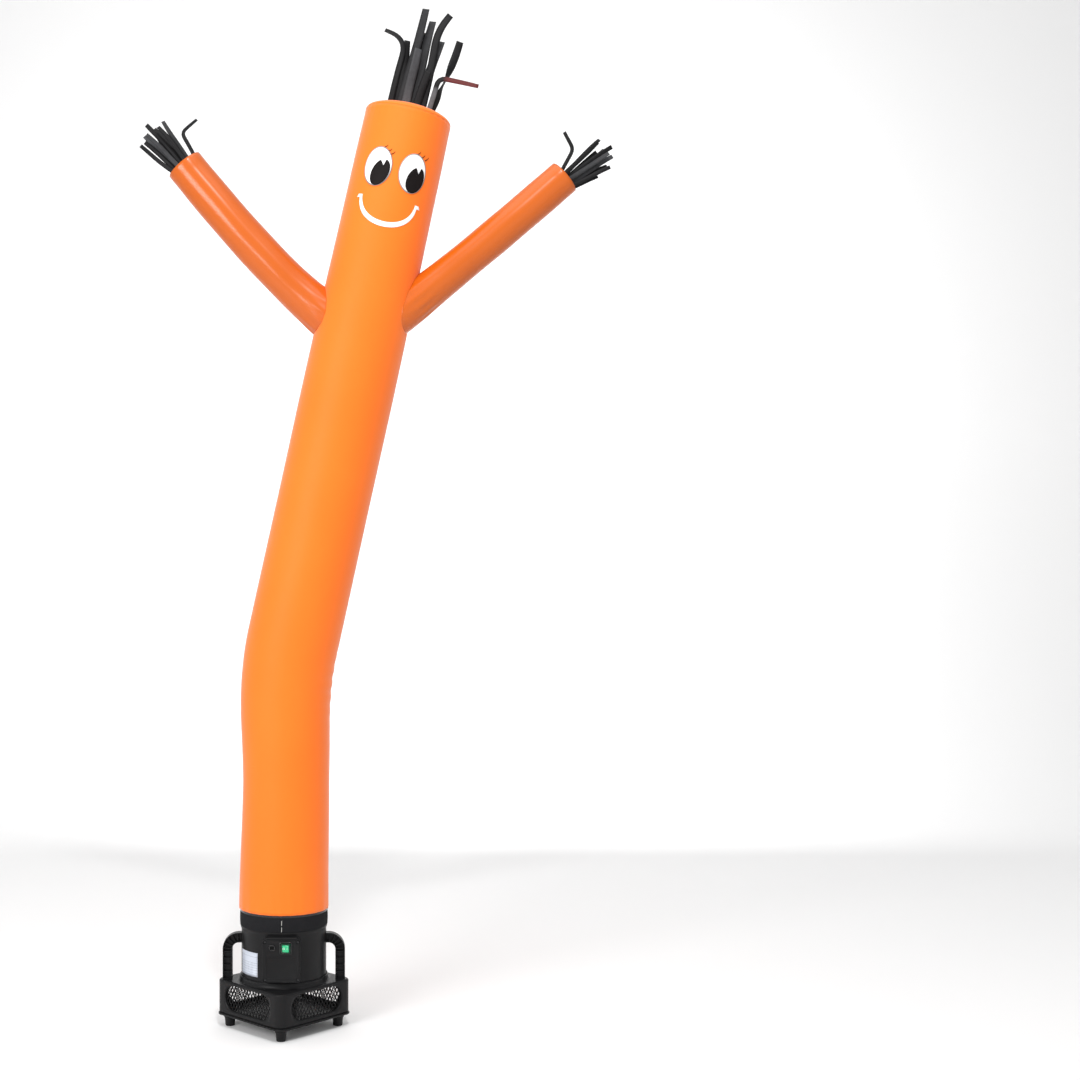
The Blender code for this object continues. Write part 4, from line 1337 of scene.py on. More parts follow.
LEFT_HAND = (
    Strand(-0.031, -1.5, -53.0, 3.0, 0.122, 0.0110),
    Strand(-0.013, -1.5, -44.0, -5.0, 0.132, 0.0120, 0.35),
    Strand(0.007, -1.5, -36.0, -8.0, 0.128, 0.0120),
    Strand(-0.024, -0.5, -47.0, -3.0, 0.124, 0.0120),
    Strand(-0.004, -0.5, -41.0, -3.0, 0.155, 0.0130),
    Strand(0.014, -0.5, -35.0, 4.0, 0.136, 0.0120, 0.2),
    Strand(0.031, -0.5, -29.0, 78.0, 0.132, 0.0100, span=(0.50, 0.72)),
    Strand(-0.018, 0.5, -46.0, 2.0, 0.140, 0.0130, 0.5),
    Strand(0.003, 0.5, -39.0, -6.0, 0.138, 0.0130),
    Strand(-0.006, 1.5, -42.0, 6.0, 0.118, 0.0130),
    Strand(0.010, 1.5, -37.0, -6.0, 0.126, 0.0120),
)
RIGHT_HAND = (
    Strand(0.029, -1.5, 62.0, 6.0, 0.120, 0.0110),
    Strand(0.012, -1.5, 56.0, 3.0, 0.138, 0.0120, 0.3),
    Strand(-0.003, -1.5, 46.0, 2.0, 0.134, 0.0120),
    Strand(0.030, -0.5, 66.0, 2.0, 0.084, 0.0120),
    Strand(0.019, -0.5, 57.0, 3.0, 0.144, 0.0130, 0.4),
    Strand(0.004, -0.5, 54.0, 5.0, 0.158, 0.0130),
    Strand(-0.008, -0.5, 27.0, -55.0, 0.132, 0.0100, span=(0.52, 0.74)),
    Strand(0.024, 0.5, 59.0, 8.0, 0.122, 0.0120),
    Strand(0.009, 0.5, 53.0, -5.0, 0.140, 0.0130, 0.2),
    Strand(-0.004, 0.5, 44.0, 3.0, 0.149, 0.0120),
    Strand(0.004, 1.5, 50.0, -4.0, 0.126, 0.0120),
)


# angle and drop of the outer end of each lash, and then of its root
LASHES = (
    (-20.8, 0.1154, -15.6, 0.1067), (-13.4, 0.1219, -9.6, 0.1148), (-8.9, 0.1289, -4.8, 0.1202),
    (23.6, 0.1137, 27.9, 0.1038), (31.0, 0.1178, 35.0, 0.1078), (36.4, 0.1215, 41.4, 0.1102),
)


@dataclass(frozen=True)
class Cloth:
    """Everything sewn: body, head panel, arms, fringes and face."""

    figure: Figure
    finishes: Finishes
    round_steps: int = 120
    long_steps: int = 250
    eye_turn: float = math.radians(23.2)
    eye_drop: float = 0.1635
    eye_half: tuple[float, float] = (0.0375, 0.0510)
    pupil_half: tuple[float, float] = (0.0225, 0.0355)
    pupil_shift: tuple[float, float] = (0.0095, -0.0150)
    pupil_tilt: float = math.radians(-18.0)
    notch: tuple[tuple[float, float], ...] = ((0.0020, 0.0230), (0.0150, 0.0025), (0.0215, 0.0270))
    smile_half: float = 0.0755
    smile_drop: tuple[float, float] = (0.2380, 0.3060)
    smile_width: tuple[float, float] = (0.0065, 0.0130)
    smile_tick: float = 0.0095
    patch_lift: float = 0.0012
    patch: float = 0.0008
    pupil_lift: float = 0.0023
    pupil: float = 0.0007
    lash_lift: float = 0.0010
    lash: float = 0.0006
    ribbon: float = 0.0005
    strip: tuple[float, float] = (0.061, 0.015)
    hand_sink: float = 0.014
    body_girth: float = 0.735
    arm_length: float = 0.52

    def build(self) -> None:
        """Build all the cloth."""
        face = self.build_face()
        body = self.build_body()
        panel, hair = self.build_head()
        for arm, strands in zip(ARMS, (LEFT_HAND, RIGHT_HAND)):
            sleeve = self.build_arm(arm)
            fringe = self.build_hand(arm, strands)
            round(float(math.tau * arm.radius(np.array(0.4))), 3)

    def build_body(self) -> bpy.types.Object:
        """Body: a grid of turn and length on the figure's surface, open where the arms join.

        Returns:
            The body.
        """
        turn = np.arange(self.round_steps) * math.tau / self.round_steps
        s = self.figure.length * (1 - np.linspace(0.0, 1.0, self.long_steps))
        points = self.figure.surface(turn[None, :], s[:, None])
        full = np.arange(self.round_steps + 1) / self.round_steps * self.body_girth
        cells = points[:-1] + points[1:]
        cells = (cells + np.roll(cells, -1, axis=1)) / 4
        keep = np.ones(cells.shape[:2], bool)
        t = np.linspace(0.5, 1.0, 60)
        for arm in ARMS:
            away = np.linalg.norm(cells[:, :, None, :] - arm.centre(t)[0], axis=-1)
            keep &= ~(away < arm.radius(t) - 0.009).any(axis=-1)
        uv = together(full[None, :], s[:, None])
        body = Shell().grid(points, close_v=True, uv=uv, keep=keep).build("cloth_body")
        solidify(body, self.figure.cloth)
        return dress(body, self.finishes.body, ["body_tube"])

    def build_head(self) -> tuple[bpy.types.Object, bpy.types.Object]:
        """Head panel, and the hair on its strip.

        Returns:
            The panel and the hair.
        """
        head = Head(self.figure)
        points, uv = head.panel()
        panel = shaped(
            "cloth_head_panel", points, self.finishes.body, ["head_panel"],
            uv=uv, sheet=self.figure.cloth,
        )
        shell = Shell()
        wide, deep = self.strip
        x, y = np.meshgrid(np.linspace(-wide, wide, 25), np.linspace(deep, -deep, 7), indexing="xy")
        low = head.height(np.hypot(x, y)) + 0.0008
        self.add_strip(shell, head.place(x, y, low + 0.0018), head.place(x, y, low))
        for number, strand in enumerate(HAIR):
            up = head.height(np.array(abs(strand.root))) + 0.0018
            base = head.place(np.array(strand.root), np.array(0.0), up)
            self.add_strand(shell, strand, base, number)
        hair = shell.build("ribbon_hair")
        solidify(hair, self.ribbon, 0.0)
        return panel, dress(hair, self.finishes.ribbon, ["hair"])

    @staticmethod
    def add_strip(shell: Shell, upper: Array, lower: Array) -> None:
        """Add the strip that carries a fringe: its upper and lower faces, each a sheet."""
        shell.grid(upper).grid(lower[:, ::-1])

    @staticmethod
    def add_strand(shell: Shell, strand: Strand, base: Array, number: int) -> None:
        """Add one ribbon, with its tone and, on the one with a red tip, its warmth.

        Args:
            shell: The fringe's shell.
            strand: The ribbon.
            base: Where it starts.
            number: Its number, which sets its twist.
        """
        points, uv, share = strand.grid(base, 0.5 * math.sin(2.3 * number + 1.0))
        warm = strand.warm * np.clip((share[:, None] - 0.50) / 0.08, 0.0, 1.0)
        tone = strand.tone * (0.85 + 0.15 * np.cos(6 * share[:, None]))
        tone = tone * (1 - strand.warm * np.clip((share[:, None] - 0.32) / 0.03, 0.0, 1.0))
        shell.grid(points, uv=uv, tone=tone, warm=warm)

    def build_arm(self, arm: Arm, steps: int = 96, rows: int = 110) -> bpy.types.Object:
        """Arm: a grid of turn and share, each line ending where it meets the body.

        Args:
            arm: Its shape.
            steps: Steps round.
            rows: Rows along it.

        Returns:
            The arm.
        """
        turn = np.arange(steps) * math.tau / steps
        stop = arm.seam(self.figure, turn, 0.0006)
        share = np.linspace(0.0, 1.0, rows)[:, None]
        points = arm.surface(turn[None, :], share * stop[None, :])
        full = np.arange(steps + 1) / steps * 0.31
        run = share * np.append(stop, stop[:1])[None, :] * self.arm_length
        return shaped(
            f"cloth_{arm.name}", points, self.finishes.arm, [arm.name],
            uv=together(full[None, :], run), sheet=self.figure.cloth,
        )

    def build_hand(self, arm: Arm, strands: Sequence[Strand]) -> bpy.types.Object:
        """Hand fringe: ribbons on a strip that spans the open end of the arm.

        Args:
            arm: The arm.
            strands: Its ribbons.

        Returns:
            The fringe.
        """
        place, ahead = arm.centre(np.array(0.0))
        centre = place + ahead * self.hand_sink
        along = np.array([-ahead[2], 0.0, ahead[0]])
        deep = self.strip[1]
        reach = math.sqrt((arm.radii[0][1] - 0.0025) ** 2 - deep ** 2)
        shell = Shell()
        a, b = np.linspace(-reach, reach, 9)[:, None, None], np.linspace(-deep, deep, 4)[:, None]
        flat = centre + a * along + b * np.array([0.0, 1.0, 0.0])
        self.add_strip(shell, flat - ahead * 0.001, flat + ahead * 0.001)
        for number, strand in enumerate(strands):
            self.add_strand(shell, strand, centre + strand.root * along, number + 20)
        fringe = shell.build(f"ribbon_{arm.name.replace('arm', 'hand')}")
        solidify(fringe, self.ribbon, 0.0)
        return dress(fringe, self.finishes.ribbon, [arm.name.replace("arm", "hand_fringe")])

    @property
    def face_radius(self) -> float:
        """The tube's radius at the level of the eyes."""
        return float(self.figure.radius(np.array(self.figure.length - self.eye_drop)))

    def on_face(self, across: Array, drop: Array, lift: float) -> Array:
        """Return points over the cloth, across from the front line and down from the tube's top."""
        return self.figure.surface(across / self.face_radius, self.figure.length - drop, lift)

    @staticmethod
    def disc(edge: Array, angles: Array, rings: int) -> Array:
        """Return points from an edge, given by its radius at each angle, to its middle."""
        share = np.linspace(1.0, 0.0, rings)[:, None]
        return np.stack([share * edge * np.cos(angles), share * edge * np.sin(angles)], axis=-1)

    def build_face(self) -> list[bpy.types.Object]:
        """Eyes, pupils with a notch, lashes and smile, all thin patches.

        Returns:
            The pieces.
        """
        pieces = []
        angles = np.linspace(0.0, math.tau, 73)
        full = self.disc(np.ones(73), angles, 10)
        unit = full[:, :-1]
        wide, high = self.eye_half
        for name, side in (("left", -1.0), ("right", 1.0)):
            centre = side * self.eye_turn * self.face_radius
            points = self.on_face(
                centre + unit[..., 0] * wide, self.eye_drop - unit[..., 1] * high, self.patch_lift
            )
            pieces.append(shaped(
                f"eye_patch_{name}", points, self.finishes.eye, [f"eye_{name}"],
                uv=full, sheet=self.patch,
            ))
            pieces.append(self.build_pupil(name, centre))
        return [*pieces, self.build_lashes(), self.build_smile()]

    def pupil_edge(self, angles: Array) -> Array:
        """Return the pupil's radius at each angle about its middle.

        An ellipse turned by the tilt, cut back where the ray first meets the two sides of the notch.

        Args:
            angles: The angles.

        Returns:
            The radii.
        """
        wide, high = self.pupil_half
        local = angles - self.pupil_tilt
        edge = wide * high / np.hypot(high * np.cos(local), wide * np.sin(local))
        corners = np.array(self.notch) - np.array(self.pupil_shift)
        ray = np.stack([np.cos(angles), np.sin(angles)], axis=-1)
        for start, stop in zip(corners[:-1], corners[1:]):
            run = stop - start
            cross = ray[:, 0] * run[1] - ray[:, 1] * run[0]
            cross = np.where(np.abs(cross) < 1e-9, 1e-9, cross)
            reach = (start[0] * run[1] - start[1] * run[0]) / cross
            share = (start[0] * ray[:, 1] - start[1] * ray[:, 0]) / cross
            hit = (share >= 0) & (share <= 1) & (reach > 0)
            edge = np.where(hit, np.minimum(edge, reach), edge)
        return edge

    def build_pupil(self, name: str, centre: float) -> bpy.types.Object:
        """Pupil: rings from its edge to its middle, carried onto the eye.

        Args:
            name: Which eye.
            centre: How far across the eye's middle lies.

        Returns:
            The pupil.
        """
        corners = np.array(self.notch) - np.array(self.pupil_shift)
        marks = np.arctan2(corners[:, 1], corners[:, 0])
        spread = np.concatenate([marks - 0.002, marks, marks + 0.002])
        angles = np.sort(np.concatenate([np.linspace(-math.pi, math.pi, 97)[:-1], spread]))
        flat = self.disc(self.pupil_edge(angles), angles, 8)
        x, y = self.pupil_shift
        points = self.on_face(centre + x + flat[..., 0], self.eye_drop - y - flat[..., 1], self.pupil_lift)
        return shaped(
            f"pupil_patch_{name}", points, self.finishes.dark, [f"pupil_{name}"],
            uv=np.concatenate([flat, flat[:, :1]], axis=1), sheet=self.pupil,
        )

    def build_lashes(self) -> bpy.types.Object:
        """Lashes: short tapering strokes over each eye.

        Returns:
            The lashes.
        """
        shell = Shell()
        share = np.linspace(0.0, 1.0, 9)[:, None]
        side = np.linspace(-1.0, 1.0, 3)[None, :]
        for from_turn, from_drop, to_turn, to_drop in LASHES:
            across = np.radians(from_turn + (to_turn - from_turn) * share) * self.face_radius
            across = across + 0.0016 * np.sin(math.pi * share)
            drop = from_drop + (to_drop - from_drop) * share
            half = 0.0011 * (1.1 - 0.8 * share) * side
            shell.grid(self.on_face(across - half * 0.8, drop - half * 0.6, self.lash_lift)[:, ::-1])
        lashes = shell.build("lashes")
        solidify(lashes, self.lash)
        return dress(lashes, self.finishes.lash)

    def build_smile(self) -> bpy.types.Object:
        """Smile: the lower half of an ellipse, wide in its middle, with a tick at each end.

        Returns:
            The smile.
        """
        b = np.linspace(-1.0, 1.0, 121)[:, None]
        a = np.linspace(-1.0, 1.0, 7)[None, :]
        share = np.abs(b)
        turn = b * math.pi / 2
        narrow, wide = self.smile_width
        outward = a * (narrow + (wide - narrow) * (1 - share ** 2)) / 2
        bump = np.exp(-(((share - 0.975) / 0.030) ** 2)) * np.clip(a, 0.0, 1.0)
        reach = self.smile_half + outward + self.smile_tick * bump
        deep = self.smile_drop[1] - self.smile_drop[0] + outward
        drop = self.smile_drop[0] + deep * np.cos(turn) + self.smile_tick * 0.55 * bump * (share < 0.999)
        return shaped(
            "smile_patch", self.on_face(reach * np.sin(turn), drop, self.patch_lift)[:, ::-1],
            self.finishes.white, ["smile"],
            uv=together(outward, b * 0.12), close_v=False, sheet=self.patch,
        )


# ---- the blower ----

DUCT_RADIUS = 0.1099
DUCT_LOW = 0.119
GAP = 0.0003
QUARTERS = (0.0, math.pi / 2, math.pi, 3 * math.pi / 2)
DIAGONALS = tuple(math.pi / 4 + quarter for quarter in QUARTERS)


@dataclass(frozen=True)
class Base:
    """Square housing turned 45 degrees, its grilles, bottom plate and feet."""

    finishes: Finishes
    side: float = 0.2505
    corner: float = 0.023
    wall: float = 0.003
    low: float = 0.0363
    shoulder: float = 0.1175
    edge: float = 0.0045
    collar: float = 0.1134
    fillet: float = 0.0061
    window: tuple[float, float] = (0.175, 0.066)
    window_z: float = 0.081
    diamond: tuple[float, float] = (0.0113, 0.0185)
    bar: float = 0.0014
    lip: float = 0.0025
    foot_reach: float = 0.140
    columns: int = 35
    rows: int = 13

    def build(self) -> None:
        """Build the base."""
        self.build_housing()
        self.build_grilles()
        self.build_plate()
        self.build_feet()

    def stadium(self, count: int) -> Array:
        """Return the window's outline, counterclockwise from its right end.

        The outline's length is shared evenly: a half circle, a straight, a half circle, a straight.

        Args:
            count: How many points it gets.

        Returns:
            The points.
        """
        radius = self.window[1] / 2
        half = self.window[0] / 2 - radius
        quarter = math.pi * radius / 2
        total = 4 * quarter + 4 * half
        run = np.arange(count) / count * total
        lower = run > total / 2
        folded = np.where(lower, total - run, run)
        second = folded > total / 4
        inner = np.where(second, total / 2 - folded, folded)
        angle = np.minimum(inner / radius, math.pi / 2)
        x = np.where(inner < quarter, half + radius * np.cos(angle), half - (inner - quarter))
        y = np.where(inner < quarter, radius * np.sin(angle), radius)
        return np.stack([np.where(second, -x, x), np.where(lower, -1.0, 1.0) * y], axis=-1)

    def build_housing(self) -> None:
        """Housing: four pierced walls, round corners and a top that blends into a round collar."""
        shell = Shell()
        straight = self.side / 2 - self.corner
        x = np.linspace(-straight, straight, self.columns)
        z = np.linspace(self.low, self.shoulder, self.rows)
        half = self.rows // 2
        right, left = together(straight, z), together(-straight, z[::-1])
        top, bottom = together(x[::-1], self.shoulder), together(x, self.low)
        rim = np.concatenate([right[half:-1], top[:-1], left[:-1], bottom[:-1], right[:half]])
        hole = self.stadium(len(rim)) + np.array([0.0, self.window_z])
        share = np.linspace(0.0, 1.0, 4)[:, None, None]
        wall = rim * (1 - share) + hole * share
        upright = together(wall[..., 0], -self.side / 2, wall[..., 1])
        arc = np.linspace(0.0, math.pi / 2, 10)
        bend_x = straight + self.corner * np.sin(arc)
        bend_y = -straight - self.corner * np.cos(arc)
        corner = together(bend_x[None, :], bend_y[None, :], z[::-1][:, None])
        for angle in DIAGONALS:
            shell.grid(turned(upright[::-1], angle), close_v=True)
            shell.grid(turned(corner, angle))
        shell.grid(turned(self.top_rings(x[:-1], arc[:-1])[::-1], DIAGONALS[0]), close_v=True)
        housing = shell.build("housing")
        solidify(housing, self.wall)
        dress(housing, self.finishes.plastic, ["base_housing"])

    def square(self, inset: float, x: Array, arc: Array) -> Array:
        """Return the rounded square that the walls make, shrunk by inset.

        Args:
            inset: How far it is shrunk.
            x: Places along a side.
            arc: Angles of a corner.

        Returns:
            Its points in the plane.
        """
        straight, reach = self.side / 2 - self.corner, self.corner - inset
        side = together(x, inset - self.side / 2, 0.0)
        bend = together(straight + reach * np.sin(arc), -straight - reach * np.cos(arc), 0.0)
        one = np.concatenate([side, bend])
        return np.concatenate([turned(one, quarter) for quarter in QUARTERS])[:, :2]

    def top_rings(self, x: Array, arc: Array) -> Array:
        """Return the rings from the shoulder, over a round edge and the flat top, up the collar.

        The square ring shrinks as a quarter circle, blends evenly into a circle, and then follows
        a quarter ellipse up to the collar's rim.

        Args:
            x: Places along a side.
            arc: Angles of a corner.

        Returns:
            The grid, whose columns close.
        """
        rings = []
        for turn in np.linspace(0.0, math.pi / 2, 7):
            ring = self.square(self.edge * (1 - math.cos(turn)), x, arc)
            rings.append(level(ring, self.shoulder + self.edge * math.sin(turn)))
        last = rings[-1][:, :2]
        flat = last / np.linalg.norm(last, axis=1, keepdims=True)
        top = self.shoulder + self.edge
        start = self.collar + self.fillet
        for share in np.linspace(0.0, 1.0, 9)[1:]:
            rings.append(level(last * (1 - share) + flat * start * share, top + 0.0001 * share))
        for turn in np.linspace(0.0, math.pi / 2, 9)[1:]:
            radius = self.collar + self.fillet * (1 - math.sin(turn))
            rings.append(level(flat * radius, top + 0.0119 * (1 - math.cos(turn))))
        return np.stack([*rings, level(flat * self.collar, top + 0.0140)])

    def build_grilles(self) -> None:
        """Grilles: slanting bars of two families, cut to the window, with a rim behind the wall.

        A bar of either family is the line x = x0 + slope z, kept where it lies in the outline.
        """
        half = self.window[0] / 2 - self.window[1] / 2
        radius = self.window[1] / 2 + 0.002
        shell = Shell()
        inset = self.side / 2 - self.wall - GAP
        z = np.linspace(-radius, radius, 241)
        count = int((half + radius * 2) / self.diamond[0]) + 1
        for lean, depth in ((1.0, 0.0010), (-1.0, 0.00092)):
            slope = lean * self.diamond[0] / self.diamond[1]
            for start in np.arange(-count, count + 1) * self.diamond[0]:
                x = start + slope * z
                inside = np.hypot(np.maximum(np.abs(x) - half, 0.0), z) < radius
                if inside.sum() < 4:
                    continue
                ends = np.flatnonzero(inside)[[0, -1]]
                first, last = np.array([x[ends], z[ends]]).T
                centre = (first + last) / 2
                run = (last - first) / 2
                across = np.array([-run[1], run[0]]) / np.linalg.norm(run) * self.bar / 2
                bar = box_grid(
                    np.array([centre[0], 0.001 - inset, centre[1] + self.window_z]),
                    np.array([run[0], 0.0, run[1]]),
                    np.array([across[0], 0.0, across[1]]),
                    np.array([0.0, -depth, 0.0]),
                )
                for angle in DIAGONALS:
                    shell.grid(turned(bar, angle), close_v=True)
        section = np.array([(-0.0012, 0.0), (-0.0012, 0.002), (0.003, 0.002), (0.003, 0.0)])
        rim = to_front(hoop(self.stadium(96), section), 0.0, inset - 0.002, self.window_z)
        for angle in DIAGONALS:
            shell.grid(turned(rim, angle), close_u=True, close_v=True)
        nodes = [f"grille_{name}" for name in ("front_left", "front_right", "back_left", "back_right")]
        dress(shell.build("grilles"), self.finishes.plastic, nodes)

    def build_plate(self) -> None:
        """Bottom plate: a slab whose rounded lip stands out all round."""
        side = self.side + 2 * self.lip
        rings = slab(rectangle(side, side, self.corner + self.lip, 10), 0.031, 0.036, 0.0016, 5)
        plate = turned(rings, DIAGONALS[0])
        shaped("bottom_plate_round", plate, self.finishes.plastic, ["bottom_plate"])

    def build_feet(self) -> None:
        """Feet: a collar, a step and a tapering round plug with a soft lower edge."""
        profile = rounded_profile([
            (0.0, 0.0307, 0.0), (0.0160, 0.0307, 0.0004), (0.0157, 0.0222, 0.0010), (0.0143, 0.0213, 0.0006),
            (0.0138, 0.0190, 0.0), (0.0120, 0.0, 0.0022), (0.0, 0.0, 0.0),
        ])
        points, uv = lathe(profile, 64)
        for name, angle in zip(("front", "right", "back", "left"), QUARTERS):
            centre = np.array([math.sin(angle), -math.cos(angle), 0.0]) * self.foot_reach
            shaped(
                f"foot_round_{name}", points + centre, self.finishes.plastic,
                [f"foot_{name}"], uv=uv,
            )


@dataclass(frozen=True)
class Duct:
    """Round duct with its ledge, hook-and-loop band, outlet ring, screws and motor."""

    finishes: Finishes
    radius: float = DUCT_RADIUS
    wall: float = 0.003
    top: float = 0.3117
    seat: float = 0.1112
    band: float = 0.1132
    band_low: float = 0.266
    band_high: float = 0.3015
    dash: float = 0.0006
    ring_hole: float = 0.103
    ring_low: float = 0.302
    ring_high: float = 0.314
    screw_z: float = 0.3050
    screw: float = 0.0029
    motor: float = 0.036
    fin: float = 0.046
    motor_top: float = 0.1249
    motor_height: float = 0.072

    def build(self) -> None:
        """Build the duct and what it carries."""
        self.build_tube()
        self.build_band()
        self.build_ring()
        self.build_screws()
        self.build_motor()

    def build_tube(self) -> None:
        """Duct: a turned wall with a ledge under the band."""
        inner, seat, ledge = self.radius - self.wall, self.seat, self.band_low
        profile = rounded_profile([
            (inner, self.top, 0.0), (seat, self.top, 0.0), (seat, ledge - GAP, 0.0002),
            (seat + 0.0013, ledge - 0.0010, 0.0004), (seat + 0.0010, ledge - 0.0048, 0.0010),
            (self.radius, ledge - 0.0105, 0.0030), (self.radius, DUCT_LOW, 0.0), (inner, DUCT_LOW, 0.0),
        ])
        points, uv = lathe(np.vstack([profile, profile[:1]]), 144)
        shaped("duct_wall", points, self.finishes.plastic, ["duct"], uv=uv)

    def build_band(self) -> None:
        """Hook band: slightly crowned tape, with two sewn dashes at the front."""
        low, high, inner = self.band_low, self.band_high, self.seat + GAP
        z = np.linspace(high, low, 15)
        crown = self.band + 0.0007 * np.sin(math.pi * (high - z) / (high - low))
        profile = np.vstack([(inner, high), np.column_stack([crown, z]), (inner, low), (inner, high)])
        points, uv = lathe(profile, 192)
        shaped("hook_tape", points, self.finishes.hook, ["hook_band"], uv=uv)
        shell = Shell()
        for bottom, top in ((0.2670, 0.2790), (0.2834, 0.2957)):
            a, b = np.linspace(-self.dash, self.dash, 3)[:, None], np.linspace(bottom, top, 7)
            turn = a / self.band + 0.02 * (b - 0.28)
            reach = self.band + 0.0011 + 0.0003 * np.cos(a / self.dash * 1.4)
            shell.grid(together(reach * np.sin(turn), -reach * np.cos(turn), b))
        dashes = shell.build("band_dashes")
        solidify(dashes, 0.0005)
        dress(dashes, self.finishes.thread)

    def build_ring(self) -> None:
        """Outlet ring: a turned ring that caps the duct."""
        inner, low, high = self.seat + GAP, self.ring_low, self.ring_high
        profile = rounded_profile([
            (self.ring_hole, high, 0.0), (self.band, high, 0.0012), (self.band, low, 0.0002),
            (inner, low, 0.0), (inner, self.top + GAP, 0.0), (self.ring_hole, self.top + GAP, 0.0),
        ])
        points, uv = lathe(np.vstack([profile, profile[:1]]), 144)
        shaped("outlet_rim", points, self.finishes.smooth, ["outlet_ring"], uv=uv)

    def build_screws(self) -> None:
        """Ring screws: domed heads, each with a cross of two dark boxes, painted shade standing for the cross
        recess.
        """
        rim = self.screw
        profile = rounded_profile([
            (0.0, 0.0013, 0.0), (0.0018, 0.0012, 0.0006), (rim, 0.0004, 0.0003), (rim, 0.0, 0.0), (0.0, 0.0, 0.0),
        ])
        head, uv = lathe(profile, 28)
        head = to_front(head, 0.0, self.band + GAP, self.screw_z)
        heads, slots = Shell(), Shell()
        centre = np.array([0.0, -(self.band + 0.0015), self.screw_z])
        for angle in QUARTERS:
            heads.grid(turned(head, angle), close_v=True, uv=uv)
            # painted shade: each slot is a dark plastic box a little proud of the head, standing for the shadow
            # inside the recess
            for tilt in (0.4, 0.4 + math.pi / 2):
                run = np.array([math.cos(tilt), 0.0, math.sin(tilt)]) * 0.0017
                across = np.array([-math.sin(tilt), 0.0, math.cos(tilt)]) * 0.0003
                slot = box_grid(centre, run, across, np.array([0.0, -0.0002, 0.0]))
                slots.grid(turned(slot, angle), close_v=True)
        nodes = [f"ring_screw_{name}" for name in ("front", "back", "left", "right")]
        dress(heads.build("screw_heads"), self.finishes.metal, nodes)
        dress(slots.build("screw_slot_shades"), self.finishes.plastic)

    def build_motor(self) -> None:
        """Motor: a finned round case under its bracket."""
        case, fin, top, low = self.motor, self.fin, self.motor_top, self.motor_top - self.motor_height
        profile = [(0.0, top, 0.0), (0.030, top, 0.001), (case, top - 0.004, 0.001)]
        for index in range(4):
            z = top - 0.010 - 0.014 * index
            profile += [(case, z, 0.0), (fin, z, 0.0006), (fin, z - 0.004, 0.0006), (case, z - 0.004, 0.0)]
        profile += [(case, low + 0.006, 0.002), (0.028, low, 0.002), (0.0, low, 0.0)]
        points, uv = lathe(rounded_profile(profile, 3), 72)
        shaped("motor_case", points, self.finishes.metal, ["motor"], uv=uv)


